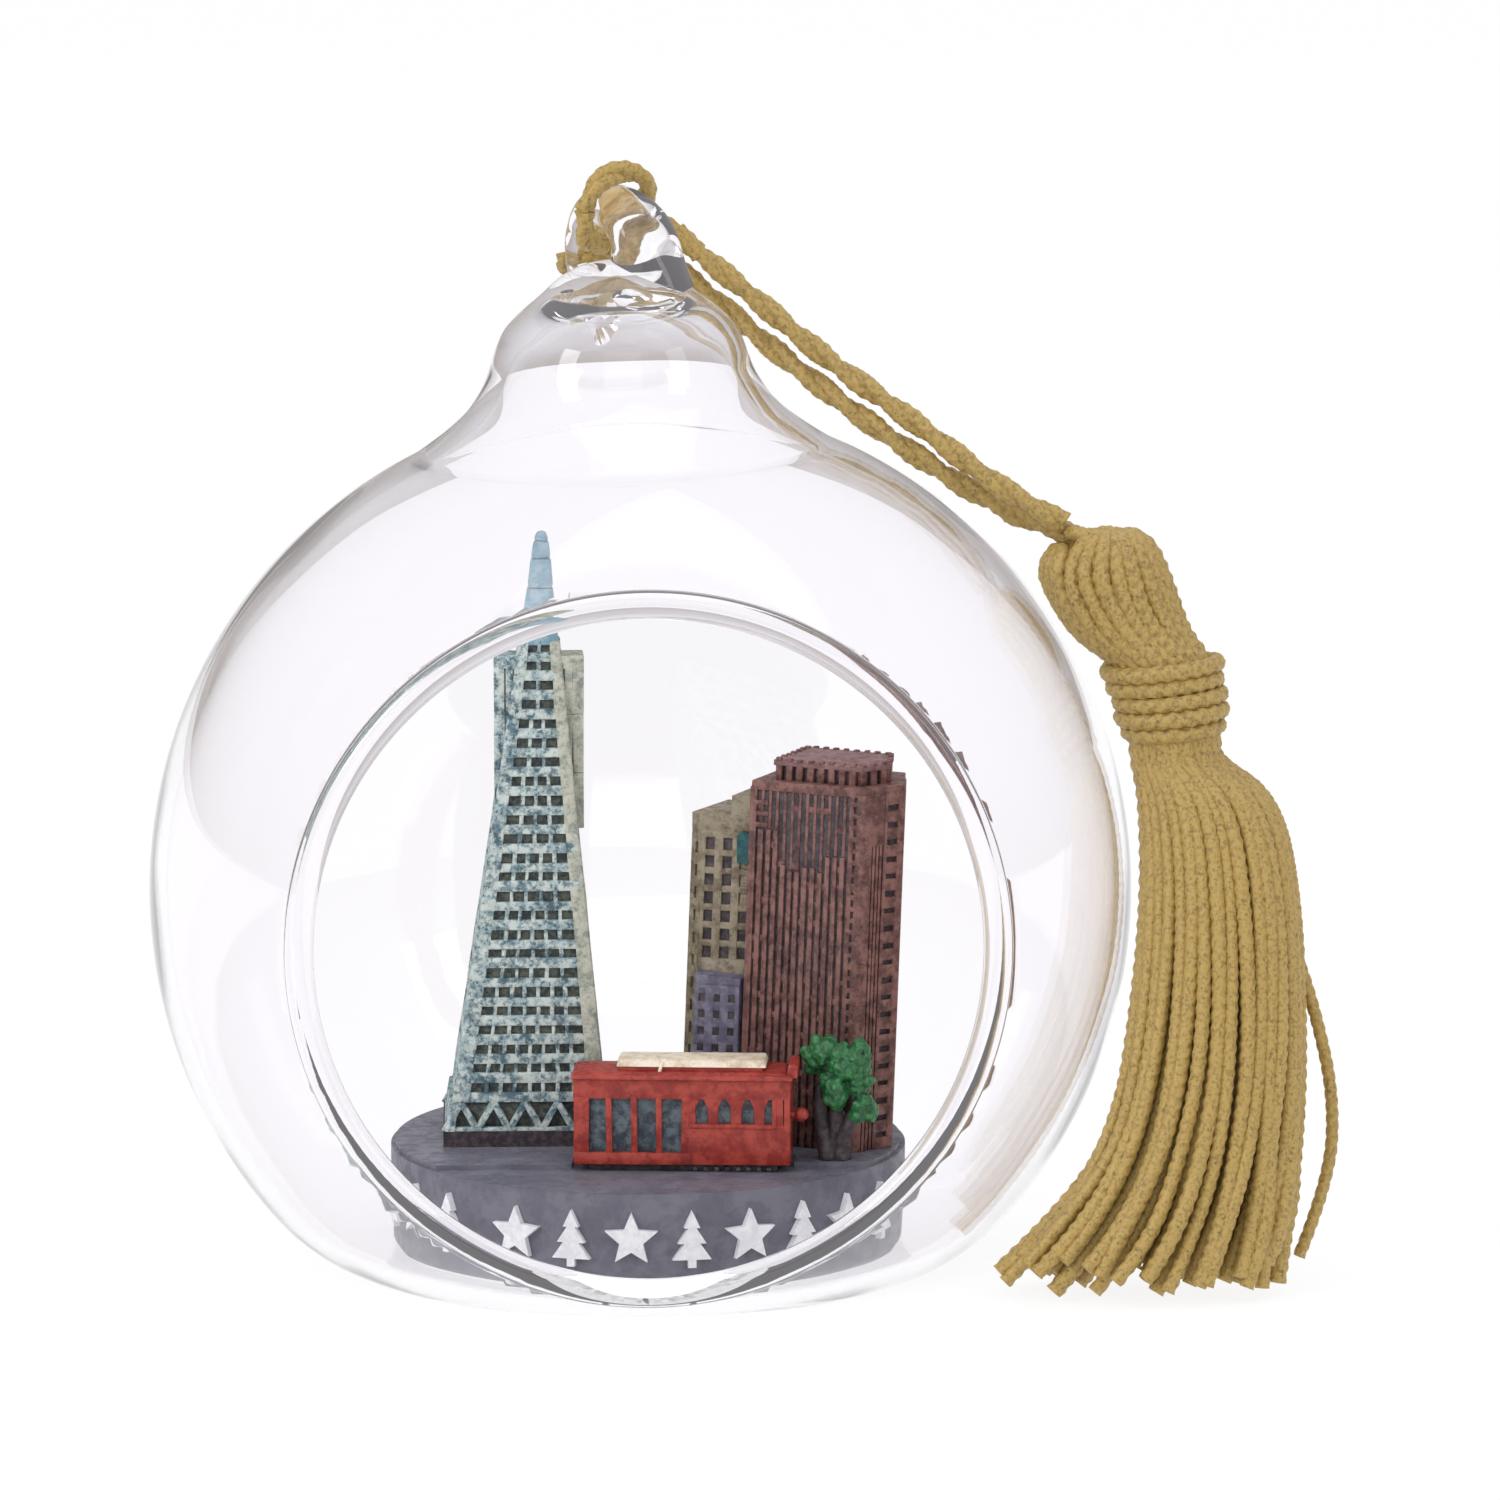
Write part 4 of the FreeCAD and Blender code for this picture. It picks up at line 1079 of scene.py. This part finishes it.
def add_brown_tower(paints):
    """The ribbed block: upright ribs whose bays start at different heights, and slotted side walls."""
    rng = random.Random(21)
    cast = Casting("brown_tower_cast")
    brown, dark = paints["brown"], paints["recess"]
    prism(cast, inset_plan(BROWN_PLAN, 0.045), GROUND_Z, BROWN_TOP_Z - 0.3, dark)
    prism(cast, inset_plan(BROWN_PLAN, 0.01), BROWN_TOP_Z - 0.75, BROWN_TOP_Z, brown)
    walls = [(BROWN_PLAN[k], BROWN_PLAN[(k + 1) % 5]) for k in range(5)]
    front = walls[0]
    ribs = 15

    def rib(wall, s0, s1, z0, z1, proud):
        wall_block(cast, *wall, s0, s1, z0, z1, proud, 0.5, brown)

    tops = [EAVES_Z, 36.4, 36.4, 36.4, 33.6, 33.2, 33.2, 33.6, 33.6, 33.2, 34.6, 34.6, 34.6,
            EAVES_Z, EAVES_Z]
    for k in range(ribs):
        s0 = 0.005 + 0.985 * (k + 0.16) / ribs
        s1 = 0.005 + 0.985 * (k + 0.78) / ribs
        rib(front, s0, s1, GROUND_Z, tops[k], 0.0)
        z = tops[k] + 0.1
        if z < 39:
            rib(front, s0 + 0.01, s1 - 0.005, z, EAVES_Z, -0.12)
        for z in np.arange(GROUND_Z + 1.2, 39.2, 1.55):
            if k < ribs - 1 and rng.random() < 0.3:
                rib(front, s1 - 0.01, s1 + 0.04, z, z + 0.5, -0.14)
    for z in (36.6, 37.5, 38.4):
        rib(front, 0.02, 0.16, z, z + 0.38, -0.02)
    rib(front, 0.0, 0.035, GROUND_Z, EAVES_Z, 0.03)
    rib(front, 0.955, 1.0, GROUND_Z, EAVES_Z, 0.03)
    for z in np.arange(GROUND_Z + 0.8, 39.0, 0.95):
        rib(front, 0.90, 0.96, z, z + 0.42, -0.03)
    for wall in walls[1:]:
        rib(wall, 0.0, 0.22, GROUND_Z, EAVES_Z, 0.02)
        for s in (0.25, 0.34, 0.43):
            rib(wall, s, s + 0.065, GROUND_Z, 35.6, 0.0)
        rib(wall, 0.22, 0.52, 35.6, EAVES_Z, 0.0)
        rib(wall, 0.52, 0.60, GROUND_Z, EAVES_Z, 0.0)
        rib(wall, 0.86, 1.0, GROUND_Z, EAVES_Z, 0.02)
        for k, z in enumerate(np.arange(GROUND_Z, 39.6, 1.42)):
            rib(wall, 0.58, 0.88, z, z + 0.98 + rng.uniform(-0.06, 0.06), 0.0)
    cast.build("brown_paint", ["brown_tower"], bevel=0.05)
    crown = Casting("brown_crown_cast")
    plan = inset_plan(BROWN_PLAN, 0.26)
    prism(crown, inset_plan(BROWN_PLAN, 0.30), BROWN_TOP_Z - 0.1, BROWN_TOP_Z + 1.3, dark)
    prism(crown, inset_plan(BROWN_PLAN, 0.23), BROWN_TOP_Z + 1.15, BROWN_TOP_Z + 1.62, paints["pink"])
    for k in range(5):
        a, b = plan[k], plan[(k + 1) % 5]
        count = max(3, round(math.dist(a, b) / 0.95))
        for i in range(count):
            wall_block(crown, a, b, (i + 0.02) / count, (i + 0.62) / count,
                       BROWN_TOP_Z - 0.1, BROWN_TOP_Z + 1.3, 0.12, 0.4, brown)
            wall_block(crown, a, b, (i + 0.1) / count, (i + 0.55) / count,
                       BROWN_TOP_Z + 1.5, BROWN_TOP_Z + 1.78, 0.2, 0.25, brown)
    crown.build("brown_paint", ["brown_tower_crown"], bevel=0.07)


def window_wall(cast, a, b, rows, columns, first_z, storey, size, wall, skip=()):
    """A wall skin with a grid of openings, built as piers and bands over a dark back."""
    top = first_z + rows * storey
    for row in range(rows + 1):
        z0 = first_z + (row - 1) * storey + size[1] if row else GROUND_Z
        wall_block(cast, a, b, 0.0, 1.0, z0, first_z + row * storey, 0.0, 0.4, wall)
    half = size[0] / 2 / math.dist(a, b)
    for column in range(columns + 1):
        s0 = (column - 0.5) / columns + half if column else 0.0
        s1 = (column + 0.5) / columns - half if column < columns else 1.0
        wall_block(cast, a, b, s0, s1, first_z - 0.1, top - 0.05, 0.015, 0.4, wall)
    for row, column in skip:
        s = (column + 0.5) / columns
        z = first_z + row * storey
        wall_block(cast, a, b, s - half, s + half, z, z + size[1], -0.12, 0.4, wall)


def add_tan_block(paints):
    """The tan block: a window wall on each side of a dark core."""
    cast = Casting("tan_block_cast")
    tan, dark = paints["tan"], paints["recess"]
    prism(cast, inset_plan(TAN_PLAN, 0.07), GROUND_Z, 36.9, dark)
    prism(cast, TAN_PLAN, 35.6, 37.1, tan)
    a, b = TAN_PLAN[1], TAN_PLAN[2]
    window_wall(cast, a, b, 7, 3, 25.2, 1.5, (0.78, 0.95), tan, skip=((6, 2), (5, 2), (4, 2), (3, 2)))
    for k in (0, 2, 3, 4):
        window_wall(cast, TAN_PLAN[k], TAN_PLAN[(k + 1) % 5], 12, 1 if k == 0 else 4, 13.2, 1.87,
                    (0.3 if k == 0 else 0.7, 0.9), tan)
    for s, z in ((0.62, 31.6), (0.80, 30.6), (0.70, 33.2)):
        wall_block(cast, a, b, s, s + 0.12, z, z + 0.35, 0.10, 0.2, tan)
    cast.build("tan_paint", ["tan_block"], bevel=0.07)


def add_lilac_block(paints):
    """The small block: three columns of windows under a sloping roofline."""
    cast = Casting("lilac_block_cast")
    lilac, dark = paints["lilac"], paints["recess"]
    prism(cast, inset_plan(LILAC_PLAN, 0.12), GROUND_Z, 23.4, dark)
    a, b = LILAC_PLAN[0], LILAC_PLAN[1]
    window_wall(cast, a, b, 6, 3, 15.0, 1.38, (0.56, 0.62), lilac)
    for k in (1, 3):
        wall_block(cast, LILAC_PLAN[k], LILAC_PLAN[(k + 1) % 4], 0.0, 1.0, GROUND_Z, 23.3, 0.0, 0.3, lilac)
    low = [leaned(x, y, 23.2) for x, y in LILAC_PLAN]
    rise = (0.55, 0.35, 0.45, 0.75)
    top = [leaned(x, y, 23.55 + up) for (x, y), up in zip(LILAC_PLAN, rise)]
    cast.loft(low, top, lilac)
    cast.build("lilac_paint", ["lilac_block"], bevel=0.06)


# ---------------------------------------------------------------- tram and trees
TRAM_PLACE = Matrix.Translation(mm(-5.7, -12.0, STREET_Z)) @ Matrix.Rotation(math.radians(-4.8), 4, "Z")


def add_tram(paints):
    """The car body, hand-painted: posts and sills round slate openings, arched cabin windows."""
    rng = random.Random(4)
    red, dark, pane = paints["red"], paints["recess"], paints["dark"]
    cast = Casting("tram_body_cast")
    cast.loft(rect(0.25, 17.1, 0.45, 4.95, 0.75), rect(0.25, 17.1, 0.45, 4.95, 7.4), pane)

    def both_sides(x0, x1, z0, z1, proud=0.0, top_shift=0.0):
        for y0, y1 in ((-proud, 0.9), (4.5, 5.4 + proud)):
            cast.loft(rect(x0, x1, y0, y1, z0), rect(x0 + top_shift, x1 + top_shift, y0, y1, z1), red)

    both_sides(0, 9.35, 0.6, 1.55, 0.05)
    both_sides(9.2, 17.4, 0.6, 3.9)
    both_sides(-0.05, 17.45, 6.0, 7.62)
    both_sides(0, 1.2, 1.4, 6.1, 0.03)
    for i in range(4):
        x = 2.62 + 2.0 * i
        both_sides(x, x + rng.uniform(0.48, 0.62), 1.4, 6.1, 0.02, rng.uniform(-0.12, 0.12))
    for i in range(5):
        x = 8.95 + 1.85 * i
        both_sides(x, x + (0.85 if i < 4 else 0.55), 3.8, 6.1, 0.0, rng.uniform(-0.06, 0.06))
    for i in range(4):
        x = 10.3 + 1.85 * i
        for side in (-1, 1):
            for y0, y1 in ((0.02, 0.8), (4.6, 5.38)):
                cast.loft(rect(x + side * 0.62, x + side * 0.50, y0, y1, 5.2),
                          rect(x + side * 0.62, x + side * 0.12, y0, y1, 6.1), red)
    both_sides(9.3, 16.3, 3.62, 3.98, 0.07)
    both_sides(15.95, 16.35, 0.6, 6.1, 0.03)
    both_sides(16.95, 17.4, 0.6, 6.1, 0.03)
    for x0, x1 in ((-0.02, 0.5), (16.9, 17.42)):
        cast.loft(rect(x0, x1, 0, 5.4, 0.6), rect(x0, x1, 0, 5.4, 2.9), red)
        for y0, y1 in ((0, 0.7), (2.4, 3.0), (4.7, 5.4)):
            cast.loft(rect(x0, x1, y0, y1, 2.8), rect(x0, x1, y0, y1, 7.0), red)
    cast.build("red_paint", ["tram_body"], bevel=0.09, place=TRAM_PLACE)
    under = Casting("tram_wheels_cast")
    under.loft(rect(1.2, 16.4, 0.5, 4.9, 0.02), rect(1.2, 16.4, 0.5, 4.9, 0.6), dark)
    for i in range(8):
        x = 9.6 + 0.85 * i
        under.loft(rect(x, x + 0.4, 0.3, 0.6, 0.06), rect(x, x + 0.4, 0.3, 0.6, 0.42), paints["bark"])
    under.build("dark_paint", ["tram_undercarriage"], bevel=0.08, place=TRAM_PLACE)
    roof = Casting("tram_roof_cast")
    roof.loft(rect(-0.3, 17.65, -0.28, 5.68, 7.55), rect(-0.1, 17.5, -0.1, 5.5, 7.95), red)
    roof.loft(rect(0.1, 17.2, 0.2, 5.2, 7.9), rect(0.5, 16.9, 0.6, 4.8, 8.15), red)
    roof.loft(rect(17.0, 18.0, 0.4, 5.0, 7.7), rect(17.2, 18.0, 0.6, 4.8, 8.75), red)
    roof.build("red_paint", ["tram_roof"], bevel=0.16, place=TRAM_PLACE)
    top = Casting("tram_clerestory_cast")
    top.loft(rect(3.6, 15.2, 0.9, 4.5, 7.9), rect(3.6, 15.2, 0.9, 4.5, 8.5), red)
    top.loft(rect(3.35, 15.5, 0.7, 4.7, 8.42), rect(3.6, 15.3, 1.0, 4.4, 9.02), paints["cream"])
    top.loft(rect(6.6, 6.9, 0.55, 0.95, 7.7), rect(7.0, 7.25, 0.65, 1.0, 8.9), paints["cream"])
    top.build("cream_paint", ["tram_clerestory", "tram_clerestory_roof"], bevel=0.14, place=TRAM_PLACE)


LEAF_CLUMPS = (((15.6, -10.2, 16.3), 1.7), ((16.6, -10.6, 18.9), 1.75), ((13.6, -9.0, 18.6), 1.25),
               ((17.6, -10.9, 15.0), 1.35), ((17.7, -10.6, 17.0), 1.45), ((14.6, -9.6, 19.6), 1.3))


def leaf_mass(name, clumps, material, nodes, seed):
    """Daubs of thick green paint heaped into a crown."""
    rng = random.Random(seed)
    crown = bmesh.new()
    for (x, y, z), r in clumps:
        for _ in range(9):
            out = Vector((rng.gauss(0, 1), rng.gauss(0, 1), rng.gauss(0, 1))).normalized()
            size = r * rng.uniform(0.36, 0.6)
            place = mm(x, y, z) + out * r * rng.uniform(0.35, 0.62) * MM
            stretch = Matrix.Diagonal((1, 1, rng.uniform(0.7, 1.5), 1))
            turn = Matrix.Rotation(rng.uniform(0, 3), 4, "XYZ"[rng.randrange(3)])
            bmesh.ops.create_icosphere(crown, subdivisions=3, radius=size * MM,
                                       matrix=Matrix.Translation(place) @ turn @ stretch)
    mesh = bpy.data.meshes.new(name)
    crown.to_mesh(mesh)
    crown.free()
    obj = new_object(name, mesh)
    blend_lumps = obj.modifiers.new("lumps", "REMESH")
    blend_lumps.mode = "VOXEL"
    blend_lumps.voxel_size = 0.11 * MM
    apply_modifiers(obj)
    for v in obj.data.vertices:
        v.co += v.normal * noise.fractal(v.co * 1100, 1.0, 2.0, 3) * 0.28 * MM
    obj.data.shade_smooth()
    finish_piece(obj, "globe", material, "green_paint", *nodes)


def add_trees(paints):
    leaf_mass("tree_crown", LEAF_CLUMPS, paints["green"], ["tree_foliage"], 6)
    leaf_mass("rear_shrub_crown", (((0.9, -0.3, 13.9), 1.3), ((1.2, -0.1, 15.7), 1.05)), paints["green"],
              ["rear_shrub"], 7)
    parts = MeshParts()
    stems = ((15.4, -9.8, 15.6, -10.1), (14.9, -9.9, 14.1, -9.3), (15.9, -10.0, 17.0, -10.7))
    for x, y, tip_x, tip_y in stems:
        route = (x, y, 10.4), (x - 0.1, y, 12.2), (tip_x, tip_y, 14.2), (tip_x + 0.1, tip_y, 16.6)
        line = resample(spline_points(vectors(route)), 0.3 * MM)
        round_tube(parts, line, lambda t: (0.85 - 0.5 * t) * MM, 14)
    for v in parts.verts:
        v += Vector((noise.noise(v * 1500), noise.noise(v * 1500 + Vector((5, 1, 2))), 0)) * 0.22 * MM
    finish_piece(parts.build("tree_stems"), "globe", paints["bark"], "bark_paint", "tree_trunk")


# ---------------------------------------------------------------- cast nodes that keep their shape
NODE_PAINTS = {
    "diorama_base": "slate", "pavement": "slate", "relief_motifs": "white", "tower_plinth": "recess",
    "tan_block_step": "tan", "teal_panel": "teal", "tram_headlamp": "red", "glue_pad": "slate",
}


# ---------------------------------------------------------------- build
GOLD = gold_cord_material()
add_studio()
add_loop_cord(GOLD)
add_stray_strand(GOLD)
add_hitch(GOLD)
add_glass()
add_tassel_head(GOLD)
add_tassel_binding(GOLD)
add_tassel_skirt(GOLD)
PAINTS = {key: resin(*values) for key, values in RESINS.items()}
add_tower(PAINTS)
add_tower_foot(PAINTS)
add_tower_top(PAINTS)
add_brown_tower(PAINTS)
add_tan_block(PAINTS)
add_lilac_block(PAINTS)
add_tram(PAINTS)
add_trees(PAINTS)
for NODE, NAME in NODE_PAINTS.items():
    repaint(NODE, PAINTS[NAME])
